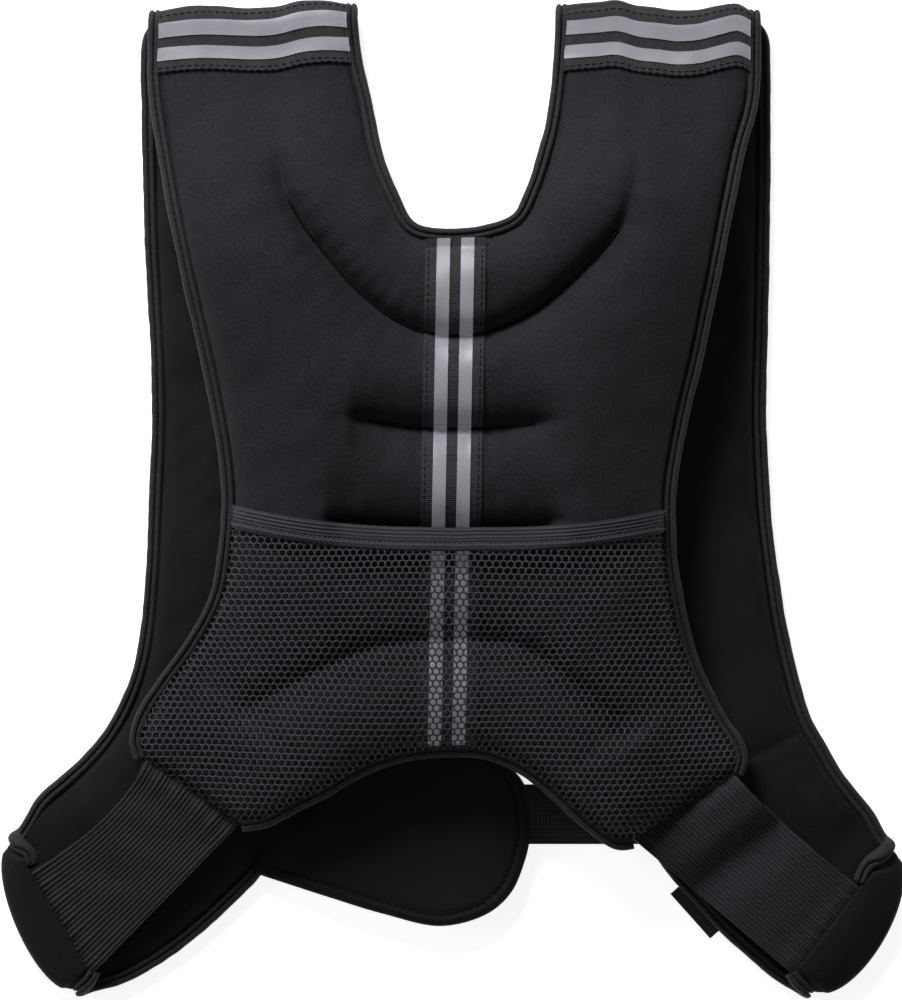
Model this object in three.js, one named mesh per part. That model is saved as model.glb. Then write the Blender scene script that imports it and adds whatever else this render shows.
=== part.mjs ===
// Weighted vest, lying on its front with the back panel up.
// +Y points from the hips to the shoulder folds, +X to the right and +Z up. Lengths are in millimetres.

import * as THREE from 'three';
import { mergeVertices } from 'three/addons/utils/BufferGeometryUtils.js';

// Overall size of the vest as it lies
const VEST_LENGTH = 425;
const VEST_WIDTH = 383;

// The two hands, as signs of x
const LEFT_SIDE = -1;
const RIGHT_SIDE = 1;

// Padded layers
const EDGE_THICKNESS = 4.8;
const PANEL_THICKNESS = 22;
const WING_THICKNESS = 13;
const FRONT_THICKNESS = 13;
const SHOULDER_THICKNESS = 6.6;
const CURL_THICKNESS = 6;
const PANEL_CROWN_REACH = 40; // how far in from the edge the padding reaches its full height
const FRONT_CROWN_REACH = 30;
const TOP_SHARE = 0.66; // the part of the padding that stands above the edge's middle

// Where the layers change height and fullness, as shares of half the width and of the length
const WING_ACROSS = [0.25, 0.62];
const WING_DOWN = [0.52, 0.72];
const STRAP_RISE = [0, 0.26];
const STRAP_FILLING = [0.02, 0.20];

// Room between the layers
const LAYER_GAP = 11;
const WING_GAP = 2.4;
const FOLD_GAP = 3;
const CURL_GAP = 2;

// Quilting
const QUILT_WIDTH = 12;

// Edge binding
const BINDING_WIDTH = 4;
const BINDING_HEIGHT = 6.6;
const BINDING_SIDES = 6;

// Tapes, stripes and pocket
const TAPE_WIDTH = 25.5;
const TAPE_THICKNESS = 0.8;
const STRIPE_WIDTH = 5.6;
const STRIPE_GAP = 4.6;
const STRIPE_THICKNESS = 0.5;
const TAPE_WRAP = THREE.MathUtils.degToRad(50); // how far a shoulder tape goes round the fold
const TAPE_INSET = 0.1; // bare part of the grid's column at each end of a shoulder tape
const SPINE_INSET = 0.04; // bare part of the grid's row at each end of the spine tape
const HEM_WIDTH = 9.4;
const HEM_THICKNESS = 1.6;
const MESH_THICKNESS = 1;
const POCKET_DEPTH = 4.5;
const POCKET_INSET = { sides: 0.06, top: 0.03, bottom: 0.05 }; // the same for the pocket
const POCKET_FALL = [0.15, 1]; // where the pocket's fullness goes down to nothing below the hem
const POCKET_RISE = [0.2, 0.9]; // where the pocket rises over the spine tape, from its sides

// Elastic, flap, strap and buckle
const ELASTIC_THICKNESS = 1.6;
const ELASTIC_ARCH = 2;
const FLAP_THICKNESS = 4.5;
const WEBBING_WIDTH = 25.5;
const WEBBING_THICKNESS = 1.6;
const BUCKLE_LENGTH = 46;
const BUCKLE_WIDTH = 34;
const BUCKLE_THICKNESS = 7;
const BUCKLE_CORNER = 5;
const BUCKLE_BEVEL = 1.2;
const TAB_LENGTH = 5;

// Small gap between pieces that touch, and the wider one at the end of a strap
const CLEARANCE = 0.3;
const STRAP_SPACE = 1.2;

// Grid counts: the intervals between one landmark and the next
const PANEL_COLUMNS = 12;
const WING_COLUMNS = 4;
const UPPER_ROWS = 7;
const BACK_ROWS = 9;
const POCKET_ROWS = 9;
const FRONT_COLUMNS = 7;
const FLAP_COLUMNS = 5;

// Heights that follow from the sizes above
const FRONT_LEVEL = BINDING_HEIGHT / 2;
const FOLD_TURN = (SHOULDER_THICKNESS + FOLD_GAP) / 2;
const FOLD_LEVEL = FRONT_LEVEL + FOLD_TURN;
const CURL_TURN = (CURL_THICKNESS + CURL_GAP) / 2;
const belly = thickness => EDGE_THICKNESS / 2 + (thickness - EDGE_THICKNESS) * (1 - TOP_SHARE);
const PANEL_LEVEL = FRONT_THICKNESS + LAYER_GAP + belly(PANEL_THICKNESS);
const WING_LEVEL = FRONT_THICKNESS + WING_GAP + belly(WING_THICKNESS);

// Outlines. Each row is [across, down]: across is a share of half the width, from the middle to the
// right, and down is a share of the length, from the top.
const LEFT_ARM = [
  [-0.672, 0.010], [-0.674, 0.083], [-0.652, 0.150], [-0.616, 0.235], [-0.579, 0.311],
  [-0.539, 0.391], [-0.512, 0.462], [-0.506, 0.500], [-0.510, 0.529], [-0.530, 0.590],
  [-0.585, 0.639], [-0.645, 0.676], [-0.694, 0.710], [-0.714, 0.738], [-0.703, 0.760],
];
const RIGHT_ARM = [
  [0.690, 0.010], [0.683, 0.101], [0.654, 0.149], [0.630, 0.198], [0.605, 0.254],
  [0.581, 0.306], [0.557, 0.358], [0.525, 0.418], [0.501, 0.478], [0.497, 0.504],
  [0.499, 0.553], [0.517, 0.604], [0.552, 0.662], [0.610, 0.715], [0.648, 0.741],
  [0.659, 0.758], [0.648, 0.776],
];
const NECK = [
  [-0.211, 0.008], [-0.195, 0.065], [-0.177, 0.096], [-0.149, 0.158], [-0.109, 0.201],
  [-0.071, 0.222], [-0.029, 0.228], [0.042, 0.229], [0.100, 0.223], [0.143, 0.208],
  [0.171, 0.186], [0.188, 0.160], [0.211, 0.119], [0.226, 0.066], [0.234, 0.008],
];
const LOWER_EDGE = [
  [-0.461, 0.831], [-0.406, 0.822], [-0.326, 0.801], [-0.266, 0.787], [-0.228, 0.775],
  [-0.164, 0.760], [-0.093, 0.752], [0.000, 0.748], [0.069, 0.750], [0.140, 0.761],
  [0.211, 0.783], [0.275, 0.808], [0.333, 0.831], [0.373, 0.845], [0.405, 0.846],
];
const LEFT_FOLD = [
  [-0.720, 0.012], [-0.672, 0.009], [-0.560, 0.006], [-0.405, 0.009], [-0.290, 0.003], [-0.200, 0.004],
];
const RIGHT_FOLD = [
  [0.200, 0.004], [0.340, 0.003], [0.430, 0.010], [0.550, 0.010], [0.620, 0.003], [0.720, 0.010],
];
const SPINE = [[0.007, 0.230], [-0.010, 0.748]];
const HEM_ENDS = { left: 0.504, middle: 0.527, right: 0.509 };
const NECK_ROW_DOWN = 0.25;

// Quilting seams of the back panel. A row is [across, down, depth], depth a share of the padding.
const QUILT_SEAMS = [
  [
    [-0.380, 0.165, 0.0], [-0.370, 0.188, 0.5], [-0.330, 0.224, 0.8], [-0.293, 0.246, 0.9],
    [-0.202, 0.293, 0.9], [-0.113, 0.323, 0.9], [-0.040, 0.335, 0.85], [0.064, 0.335, 0.85],
    [0.182, 0.313, 0.9], [0.302, 0.267, 0.9], [0.375, 0.227, 0.7], [0.398, 0.195, 0.0],
  ],
  [
    [-0.235, 0.405, 0.0], [-0.213, 0.416, 0.6], [-0.142, 0.424, 0.9], [-0.062, 0.429, 0.9],
    [0.064, 0.429, 0.9], [0.126, 0.427, 0.9], [0.206, 0.424, 0.6], [0.235, 0.415, 0.0],
  ],
  [
    [-0.300, 0.517, 0.0], [-0.235, 0.522, 0.9], [0.000, 0.532, 0.9], [0.264, 0.524, 0.9],
    [0.330, 0.517, 0.0],
  ],
  [
    [-0.480, 0.720, 0.0], [-0.446, 0.705, 0.8], [-0.319, 0.673, 0.9], [-0.173, 0.645, 0.9],
    [-0.024, 0.637, 0.9], [0.064, 0.637, 0.9], [0.153, 0.643, 0.9], [0.271, 0.680, 0.9],
    [0.379, 0.722, 0.8], [0.410, 0.740, 0.0],
  ],
];

// Front pieces, from the shoulder to the hip. A row is one line across the piece: the outer end and
// the inner end, each as across and down, the bow of the line as a share of the length, and fill,
// how full the padding is.
const LEFT_FRONT = [
  { outer: [-0.682, 0.032], inner: [-0.214, 0.028], bow: 0, fill: 0.0 },
  { outer: [-0.687, 0.070], inner: [-0.218, 0.070], bow: 0, fill: 0.2 },
  { outer: [-0.684, 0.120], inner: [-0.222, 0.120], bow: 0, fill: 0.6 },
  { outer: [-0.681, 0.180], inner: [-0.228, 0.180], bow: 0, fill: 0.9 },
  { outer: [-0.678, 0.246], inner: [-0.235, 0.246], bow: 0, fill: 1.0 },
  { outer: [-0.670, 0.330], inner: [-0.246, 0.330], bow: 0, fill: 1.0 },
  { outer: [-0.667, 0.413], inner: [-0.257, 0.413], bow: 0, fill: 1.0 },
  { outer: [-0.674, 0.500], inner: [-0.268, 0.500], bow: 0, fill: 1.0 },
  { outer: [-0.683, 0.584], inner: [-0.277, 0.590], bow: 0, fill: 1.0 },
  { outer: [-0.701, 0.654], inner: [-0.284, 0.680], bow: 0, fill: 1.0 },
  { outer: [-0.734, 0.700], inner: [-0.297, 0.745], bow: 0, fill: 1.0 },
  { outer: [-0.774, 0.732], inner: [-0.330, 0.800], bow: 0, fill: 1.0 },
  { outer: [-0.812, 0.753], inner: [-0.390, 0.840], bow: 0, fill: 0.95 },
  { outer: [-0.846, 0.768], inner: [-0.432, 0.874], bow: 0, fill: 0.85 },
  { outer: [-0.876, 0.780], inner: [-0.500, 0.912], bow: 0.003, fill: 0.7 },
  { outer: [-0.903, 0.790], inner: [-0.580, 0.944], bow: 0.006, fill: 0.5 },
  { outer: [-0.925, 0.800], inner: [-0.655, 0.968], bow: 0.011, fill: 0.3 },
  { outer: [-0.942, 0.812], inner: [-0.725, 0.985], bow: 0.016, fill: 0.1 },
];
const LEFT_CURL = { outer: [-0.989, 0.838], inner: [-0.840, 0.993], bow: 0.022 };
const LEFT_END = { outer: [-0.940, 0.866], inner: [-0.803, 0.972], bow: 0 };
const RIGHT_FRONT = [
  { outer: [0.700, 0.032], inner: [0.232, 0.028], bow: 0, fill: 0.0 },
  { outer: [0.706, 0.070], inner: [0.233, 0.070], bow: 0, fill: 0.2 },
  { outer: [0.707, 0.120], inner: [0.235, 0.120], bow: 0, fill: 0.6 },
  { outer: [0.707, 0.180], inner: [0.240, 0.180], bow: 0, fill: 0.9 },
  { outer: [0.706, 0.246], inner: [0.248, 0.246], bow: 0, fill: 1.0 },
  { outer: [0.703, 0.336], inner: [0.259, 0.330], bow: 0, fill: 1.0 },
  { outer: [0.703, 0.411], inner: [0.270, 0.411], bow: 0, fill: 1.0 },
  { outer: [0.710, 0.485], inner: [0.282, 0.490], bow: 0, fill: 1.0 },
  { outer: [0.721, 0.541], inner: [0.295, 0.565], bow: 0, fill: 1.0 },
  { outer: [0.743, 0.610], inner: [0.311, 0.640], bow: 0, fill: 1.0 },
  { outer: [0.767, 0.662], inner: [0.332, 0.710], bow: 0, fill: 1.0 },
  { outer: [0.801, 0.716], inner: [0.368, 0.775], bow: 0, fill: 1.0 },
  { outer: [0.828, 0.750], inner: [0.420, 0.830], bow: 0, fill: 0.9 },
  { outer: [0.850, 0.774], inner: [0.478, 0.872], bow: 0, fill: 0.75 },
  { outer: [0.875, 0.794], inner: [0.540, 0.905], bow: 0.004, fill: 0.5 },
  { outer: [0.897, 0.806], inner: [0.605, 0.936], bow: 0.009, fill: 0.25 },
  { outer: [0.918, 0.816], inner: [0.668, 0.962], bow: 0.015, fill: 0.1 },
  { outer: [0.938, 0.828], inner: [0.722, 0.982], bow: 0.022, fill: 0.0 },
];
const RIGHT_CURL = { outer: [0.996, 0.846], inner: [0.792, 0.998], bow: 0.031 };
const RIGHT_END = { outer: [0.914, 0.884], inner: [0.764, 0.972], bow: 0 };
const FOLD_STEPS = [0, 35, 65, 90]; // degrees of turn from the strap's top to the fold's outermost line
const CURL_STEPS = [0, 45, 90, 120, 150, 180];

// Side elastic, from the wing to the front piece: how much of the arch each line across it has
const LEFT_BAND_ARCH = [0, 0.7, 1.1, 1.2, 1.1, 0.8, 0.5, 0.2, 0];
const RIGHT_BAND_ARCH = [0, 1.6, 1.9, 0.2, 0.3, 0.9, 0.8, 0.4, 0];
const BAND_INSET = 0.12; // where a band starts along the turned end, clear of the binding

// Flap of the front opening, from its seam to its tip. A row is one line across it, from its upper
// to its lower end, with level, how far the line is lifted over the buckle.
const FLAP = [
  { upper: [-0.272, 0.752], lower: [-0.400, 0.883], level: 0.0 },
  { upper: [-0.185, 0.745], lower: [-0.273, 0.898], level: 0.95 },
  { upper: [-0.069, 0.742], lower: [-0.149, 0.915], level: 1.0 },
  { upper: [0.031, 0.745], lower: [-0.020, 0.927], level: 1.0 },
  { upper: [0.091, 0.752], lower: [0.080, 0.915], level: 0.9 },
  { upper: [0.131, 0.767], lower: [0.135, 0.893], level: 0.7 },
  { upper: [0.164, 0.786], lower: [0.166, 0.860], level: 0.5 },
  { upper: [0.175, 0.808], lower: [0.178, 0.836], level: 0.4 },
];

// The front strap and its hidden buckle
const BELT_DOWN = 0.816;
const BUCKLE_ACROSS = -0.060;
const TAB_FROM = 0.36; // start of the tab, as a share of its width
const TAB_ROWS = [13, 15]; // the lines of the right front piece that it lies between

const UP = new THREE.Vector3(0, 0, 1);
const CURVE_DIVISIONS = 400;
const HALVINGS = 40;
const MERGE_DISTANCE = 1e-4;

const smooth = (from, to, value) => THREE.MathUtils.smoothstep(value, from, to);
const mix = THREE.MathUtils.lerp;
const acrossOf = share => share * VEST_WIDTH / 2;
const alongOf = share => (0.5 - share) * VEST_LENGTH;
const place = ([across, down]) => new THREE.Vector3(acrossOf(across), alongOf(down), 0);
const range = count => Array.from({ length: count + 1 }, (_, i) => i / count);

function curveThrough(rows) {
  const curve = new THREE.CatmullRomCurve3(rows.map(place), false, 'centripetal');
  curve.arcLengthDivisions = CURVE_DIVISIONS;
  return curve;
}

// The share of a curve's length at which one coordinate reaches a value, between two shares
function shareWhere(curve, axis, value, from = 0, to = 1) {
  const rising = curve.getPointAt(to)[axis] > curve.getPointAt(from)[axis];
  for (let i = 0; i < HALVINGS; i++) {
    const middle = (from + to) / 2;
    const above = curve.getPointAt(middle)[axis] > value;
    if (above === rising) to = middle;
    else from = middle;
  }
  return (from + to) / 2;
}

function spread(from, to, count) {
  return range(count).map(share => mix(from, to, share));
}

// Points of a padded layer's edge, drawn in from the outline by the binding, with the way outwards
function edgePoints(curve, shares, hand) {
  return shares.map(share => {
    const along = curve.getTangentAt(share);
    const out = new THREE.Vector3(-along.y * hand, along.x * hand, 0).normalize();
    const point = curve.getPointAt(share).addScaledVector(out, -(BINDING_WIDTH + CLEARANCE));
    return { point, out };
  });
}

function lineHeight(rows, x) {
  const last = rows.length - 1;
  const index = rows.findIndex((row, i) => i < last && x <= acrossOf(rows[i + 1][0]));
  const k = index < 0 ? last - 1 : index;
  const [a, b] = [rows[k], rows[k + 1]];
  const share = (x - acrossOf(a[0])) / (acrossOf(b[0]) - acrossOf(a[0]));
  return mix(alongOf(a[1]), alongOf(b[1]), share);
}

// Nearest distance in plan from a point to a line of points, and where along it
function nearest(line, x, y) {
  let best = { distance: Infinity, index: 0 };
  for (let i = 0; i + 1 < line.length; i++) {
    const dx = line[i + 1].x - line[i].x;
    const dy = line[i + 1].y - line[i].y;
    const share = ((x - line[i].x) * dx + (y - line[i].y) * dy) / (dx * dx + dy * dy);
    const held = THREE.MathUtils.clamp(share, 0, 1);
    const distance = Math.hypot(x - line[i].x - held * dx, y - line[i].y - held * dy);
    if (distance < best.distance) best = { distance, index: i + held };
  }
  return best;
}

const crown = share => Math.sqrt(1 - (1 - Math.min(share, 1)) ** 2);

// Landmarks of the back panel

const outline = {
  leftArm: curveThrough(LEFT_ARM),
  rightArm: curveThrough(RIGHT_ARM),
  neck: curveThrough(NECK),
  lower: curveThrough(LOWER_EDGE),
};
const FOLD_REACH = FOLD_TURN + SHOULDER_THICKNESS / 2;
const TAPE_FLAT = TAPE_WIDTH - FOLD_REACH * TAPE_WRAP;
const foldAxis = x => lineHeight(x < 0 ? LEFT_FOLD : RIGHT_FOLD, x) - FOLD_REACH;
const spineX = y => {
  const [top, bottom] = SPINE.map(place);
  return mix(top.x, bottom.x, (y - top.y) / (bottom.y - top.y));
};

// Shares of an arm edge's length at the panel's rows, from the fold's axis to the wing tip
function armShares(curve, hemDown) {
  const start = curve.getPointAt(0);
  const top = foldAxis(start.x);
  const at = y => shareWhere(curve, 'y', y, 0, 0.9);
  const hem = alongOf(hemDown);
  return [
    at(top),
    ...spread(at(top - TAPE_FLAT), at(alongOf(NECK_ROW_DOWN)), UPPER_ROWS),
    ...spread(at(alongOf(NECK_ROW_DOWN)), at(hem), BACK_ROWS).slice(1),
    ...spread(at(hem - HEM_WIDTH), 1, POCKET_ROWS),
  ];
}

// Shares of the neck edge's length at the rows of one strap, from the fold's axis to the spine tape
function neckShares(side) {
  const end = side < 0 ? 0 : 1;
  const middle = shareWhere(outline.neck, 'x', spineX(alongOf(NECK_ROW_DOWN)));
  const at = y => shareWhere(outline.neck, 'y', y, end, middle);
  const top = foldAxis(outline.neck.getPointAt(end).x);
  const corner = shareWhere(outline.neck, 'x', spineX(place(SPINE[0]).y) + side * TAPE_WIDTH / 2);
  return [at(top), ...spread(at(top - TAPE_FLAT), corner, UPPER_ROWS)];
}

const hemHeight = side => alongOf(side === 0 ? HEM_ENDS.middle : side < 0 ? HEM_ENDS.left : HEM_ENDS.right);
const lowerShare = side => shareWhere(outline.lower, 'x', spineX(place(SPINE[1]).y) + side * TAPE_WIDTH / 2);

// One edge of the spine tape, from the neck to the lower edge
function spineEdge(side, from, to) {
  const hem = hemHeight(0);
  const heights = [
    ...spread(from.y, hem, BACK_ROWS),
    ...spread(hem - HEM_WIDTH, to.y, POCKET_ROWS),
  ];
  return heights.map((y, i) => {
    const free = new THREE.Vector3(spineX(y) + side * TAPE_WIDTH / 2, y, 0);
    if (i === 0) free.copy(from);
    if (i === heights.length - 1) free.copy(to);
    return free;
  });
}

// Sides of the two half panels, each a list with a point for every row or column
function halfPanel(side) {
  const arm = side < 0 ? outline.leftArm : outline.rightArm;
  const armEdge = edgePoints(arm, armShares(arm, side < 0 ? HEM_ENDS.left : HEM_ENDS.right), side);
  const neckEdge = edgePoints(outline.neck, neckShares(side), 1);
  const wingEnd = side < 0 ? 0 : 1;
  const lowerEdge = edgePoints(
    outline.lower, spread(wingEnd, lowerShare(side), PANEL_COLUMNS - WING_COLUMNS), -1,
  );
  const tip = armEdge.at(-1).point;
  const wing = spread(0, 1, WING_COLUMNS).map(share => tip.clone().lerp(lowerEdge[0].point, share));
  const spine = spineEdge(side, neckEdge.at(-1).point, lowerEdge.at(-1).point);
  const inner = [...neckEdge.map(edge => edge.point), ...spine.slice(1)];
  const outer = armEdge.map(edge => edge.point);
  const bottom = [...wing, ...lowerEdge.slice(1).map(edge => edge.point)];
  const top = range(PANEL_COLUMNS).map(share => {
    const x = mix(outer[0].x, inner[0].x, share);
    return new THREE.Vector3(x, foldAxis(x), 0);
  });
  outer[0] = top[0].clone();
  inner[0] = top.at(-1).clone();
  return { side, armEdge, neckEdge, lowerEdge, wing, outer, inner, top, bottom };
}

const leftHalf = halfPanel(LEFT_SIDE);
const rightHalf = halfPanel(RIGHT_SIDE);
const neckMiddle = edgePoints(outline.neck, [
  (neckShares(LEFT_SIDE).at(-1) + neckShares(RIGHT_SIDE).at(-1)) / 2,
], 1)[0];
const lowerMiddle = edgePoints(outline.lower, [(lowerShare(LEFT_SIDE) + lowerShare(RIGHT_SIDE)) / 2], -1)[0];
const NECK_ROW = 1 + UPPER_ROWS;
const HEM_ROW = NECK_ROW + BACK_ROWS;

// Padding of the back panel at a point in plan

const closedEdges = [
  leftHalf.outer, rightHalf.outer, leftHalf.bottom, rightHalf.bottom,
  [leftHalf.bottom.at(-1), lowerMiddle.point, rightHalf.bottom.at(-1)],
  leftHalf.inner.slice(0, NECK_ROW + 1), rightHalf.inner.slice(0, NECK_ROW + 1),
  [leftHalf.inner[NECK_ROW], neckMiddle.point, rightHalf.inner[NECK_ROW]],
];
const seamLines = QUILT_SEAMS.map(rows => rows.map(place));

function quilting(x, y) {
  return seamLines.reduce((most, line, k) => {
    const { distance, index } = nearest(line, x, y);
    const row = Math.min(Math.floor(index), line.length - 2);
    const depth = mix(QUILT_SEAMS[k][row][2], QUILT_SEAMS[k][row + 1][2], index - row);
    return Math.max(most, depth * Math.exp(-((distance / QUILT_WIDTH) ** 2)));
  }, 0);
}

function wingShare(x, y) {
  const side = Math.abs(x) / (VEST_WIDTH / 2);
  return smooth(...WING_ACROSS, side) * smooth(...WING_DOWN, 0.5 - y / VEST_LENGTH);
}

function panelPoint(x, y) {
  const fall = (foldAxis(x) - y) / VEST_LENGTH;
  const wing = wingShare(x, y);
  const strapLevel = mix(FOLD_LEVEL + FOLD_TURN, PANEL_LEVEL, smooth(...STRAP_RISE, fall));
  const strapFull = mix(SHOULDER_THICKNESS, PANEL_THICKNESS, smooth(...STRAP_FILLING, fall));
  const level = mix(strapLevel, WING_LEVEL, wing);
  const full = mix(strapFull, WING_THICKNESS, wing);
  const distance = Math.min(...closedEdges.map(line => nearest(line, x, y).distance));
  const padding = (full - EDGE_THICKNESS) * crown(distance / PANEL_CROWN_REACH);
  const plain = EDGE_THICKNESS / 2 + padding * TOP_SHARE;
  return {
    mid: new THREE.Vector3(x, y, level),
    normal: UP.clone(),
    up: EDGE_THICKNESS / 2 + padding * TOP_SHARE * (1 - quilting(x, y)),
    down: EDGE_THICKNESS / 2 + padding * (1 - TOP_SHARE),
    plain,
  };
}

// A cross-section on the shoulder fold, turned from the strap's top by an angle in degrees
function foldPoint(flat, degrees) {
  const angle = THREE.MathUtils.degToRad(degrees);
  const axis = new THREE.Vector3(flat.mid.x, flat.mid.y, FOLD_LEVEL);
  const normal = new THREE.Vector3(0, Math.sin(angle), Math.cos(angle));
  return { ...flat, mid: axis.addScaledVector(normal, FOLD_TURN), normal };
}

// Rows of the shoulder fold above a strap's first row, from the fold's outermost line
function foldRows(row, degrees) {
  return degrees.map(turn => row.map(flat => {
    const turned = foldPoint(flat, turn);
    if (turn === 90) turned.mid.z += CLEARANCE / 2;
    return turned;
  }));
}

const TAPE_TURN = THREE.MathUtils.radToDeg(TAPE_WRAP);
const STRAP_TURNS = [90, TAPE_TURN, TAPE_TURN / 2];

// Points inside four sides, each side a list of points; outer and inner run down, top and bottom across
function fill(outer, inner, top, bottom) {
  const rows = outer.length - 1;
  return outer.map((start, j) => top.map((above, i) => {
    const [u, v] = [i / (top.length - 1), j / rows];
    const point = start.clone().multiplyScalar(1 - u).addScaledVector(inner[j], u);
    point.addScaledVector(above, 1 - v).addScaledVector(bottom[i], v);
    point.addScaledVector(outer[0], -(1 - u) * (1 - v)).addScaledVector(inner[0], -u * (1 - v));
    return point.addScaledVector(outer[rows], -(1 - u) * v).addScaledVector(inner[rows], -u * v);
  }));
}

// A half panel's grid: strap and back above the pocket's hem, and the wing below it
function halfGrid(half) {
  const { outer, inner, top, bottom } = half;
  const level = row => range(PANEL_COLUMNS).map(share => outer[row].clone().lerp(inner[row], share));
  const end = HEM_ROW + 1;
  const upper = fill(outer.slice(0, end), inner.slice(0, end), top, level(HEM_ROW));
  const lower = fill(outer.slice(end), inner.slice(end), level(end), bottom);
  const flat = [...upper, ...lower].map(row => row.map(point => panelPoint(point.x, point.y)));
  const grid = [...foldRows(flat[0], STRAP_TURNS), ...flat];
  return half.side < 0 ? grid : grid.map(row => [...row].reverse());
}

const leftGrid = halfGrid(leftHalf);
const rightGrid = halfGrid(rightHalf);
const FIRST_FLAT = STRAP_TURNS.length;
const SPINE_START = FIRST_FLAT + NECK_ROW;
const HEM_START = FIRST_FLAT + HEM_ROW;

// The strip under the spine tape, between the half panels
const spineGrid = leftGrid.slice(SPINE_START).map((row, j, rows) => {
  const left = row.at(-1);
  const right = rightGrid[SPINE_START + j][0];
  let middle = left.mid.clone().lerp(right.mid, 0.5);
  if (j === 0) middle = neckMiddle.point;
  if (j === rows.length - 1) middle = lowerMiddle.point;
  return [left, panelPoint(middle.x, middle.y), right];
});
const wholeGrid = spineGrid.map((strip, j) => [
  ...leftGrid[SPINE_START + j], strip[1], ...rightGrid[SPINE_START + j],
]);

// Solids

function closedMesh(name, positions, faces, material) {
  const loose = new THREE.BufferGeometry();
  loose.setAttribute('position', new THREE.Float32BufferAttribute(positions, 3));
  loose.setIndex(faces);
  const geometry = mergeVertices(loose, MERGE_DISTANCE);
  const p = geometry.getAttribute('position');
  const index = geometry.getIndex();
  const corner = [0, 1, 2].map(() => new THREE.Vector3());
  let volume = 0;
  for (let i = 0; i < index.count; i += 3) {
    corner.forEach((v, k) => v.fromBufferAttribute(p, index.getX(i + k)));
    volume += corner[0].dot(corner[1].cross(corner[2]));
  }
  if (volume < 0) {
    for (let i = 0; i < index.count; i += 3) {
      const first = index.getX(i);
      index.setX(i, index.getX(i + 1));
      index.setX(i + 1, first);
    }
  }
  geometry.computeVertexNormals();
  const mesh = new THREE.Mesh(geometry, material);
  mesh.name = name;
  return mesh;
}

// Adds a grid's upper and lower skin, and a wall along each of its sides that is asked for.
// A wall is [side, first, last], where side is top, bottom, left or right.
function addGrid(positions, faces, grid, walls) {
  const columns = grid[0].length;
  const start = positions.length / 3;
  const half = grid.length * columns;
  const skin = sign => grid.flat().forEach(({ mid, normal, up, down }) => {
    const point = mid.clone().addScaledVector(normal, sign > 0 ? up : -down);
    positions.push(point.x, point.y, point.z);
  });
  skin(1);
  skin(-1);
  const quad = (a, b, c, d) => faces.push(a, b, c, a, c, d);
  const at = (row, column, lower) => start + row * columns + column + (lower ? half : 0);
  for (let r = 0; r + 1 < grid.length; r++) {
    for (let c = 0; c + 1 < columns; c++) {
      quad(at(r, c), at(r + 1, c), at(r + 1, c + 1), at(r, c + 1));
      quad(at(r, c, 1), at(r, c + 1, 1), at(r + 1, c + 1, 1), at(r + 1, c, 1));
    }
  }
  const [end, right] = [grid.length - 1, columns - 1];
  walls.forEach(([side, from, to]) => {
    for (let k = from; k < to; k++) {
      if (side === 'top') quad(at(0, k), at(0, k + 1), at(0, k + 1, 1), at(0, k, 1));
      if (side === 'bottom') quad(at(end, k + 1), at(end, k), at(end, k, 1), at(end, k + 1, 1));
      if (side === 'left') quad(at(k + 1, 0), at(k, 0), at(k, 0, 1), at(k + 1, 0, 1));
      if (side === 'right') quad(at(k, right), at(k + 1, right), at(k + 1, right, 1), at(k, right, 1));
    }
  });
}

function slab(name, grid, material) {
  const positions = [];
  const faces = [];
  const [rows, columns] = [grid.length - 1, grid[0].length - 1];
  addGrid(positions, faces, grid, [
    ['top', 0, columns], ['bottom', 0, columns], ['left', 0, rows], ['right', 0, rows],
  ]);
  return closedMesh(name, positions, faces, material);
}

// A point between a grid's own points, at a row and column that need not be whole numbers
function between(grid, row, column) {
  const r = Math.min(Math.floor(row), grid.length - 2);
  const c = Math.min(Math.floor(column), grid[0].length - 2);
  const [v, u] = [row - r, column - c];
  const value = pick => mix(
    mix(pick(grid[r][c]), pick(grid[r][c + 1]), u),
    mix(pick(grid[r + 1][c]), pick(grid[r + 1][c + 1]), u),
    v,
  );
  const vector = pick => new THREE.Vector3(
    value(cell => pick(cell).x), value(cell => pick(cell).y), value(cell => pick(cell).z),
  );
  const base = vector(cell => cell.mid.clone().addScaledVector(cell.normal, cell.up));
  const swell = value(cell => (cell.plain ?? cell.up) - cell.up);
  return { base, swell, normal: vector(cell => cell.normal).normalize() };
}

const steps = (from, to) => {
  const inside = range(Math.ceil(to)).map((_, i) => i).filter(i => i > from + 0.01 && i < to - 0.01);
  return [from, ...inside, to];
};

// A thin layer that lies on a grid, between two rows and two columns, at a lift above it
function cover(grid, { rows, columns, thickness, lift }) {
  return steps(...rows).map(row => steps(...columns).map(column => {
    const { base, swell, normal } = between(grid, row, column);
    const height = lift(row, column, swell) + thickness / 2;
    const mid = base.addScaledVector(normal, height);
    return { mid, normal, up: thickness / 2, down: thickness / 2 };
  }));
}

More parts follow.
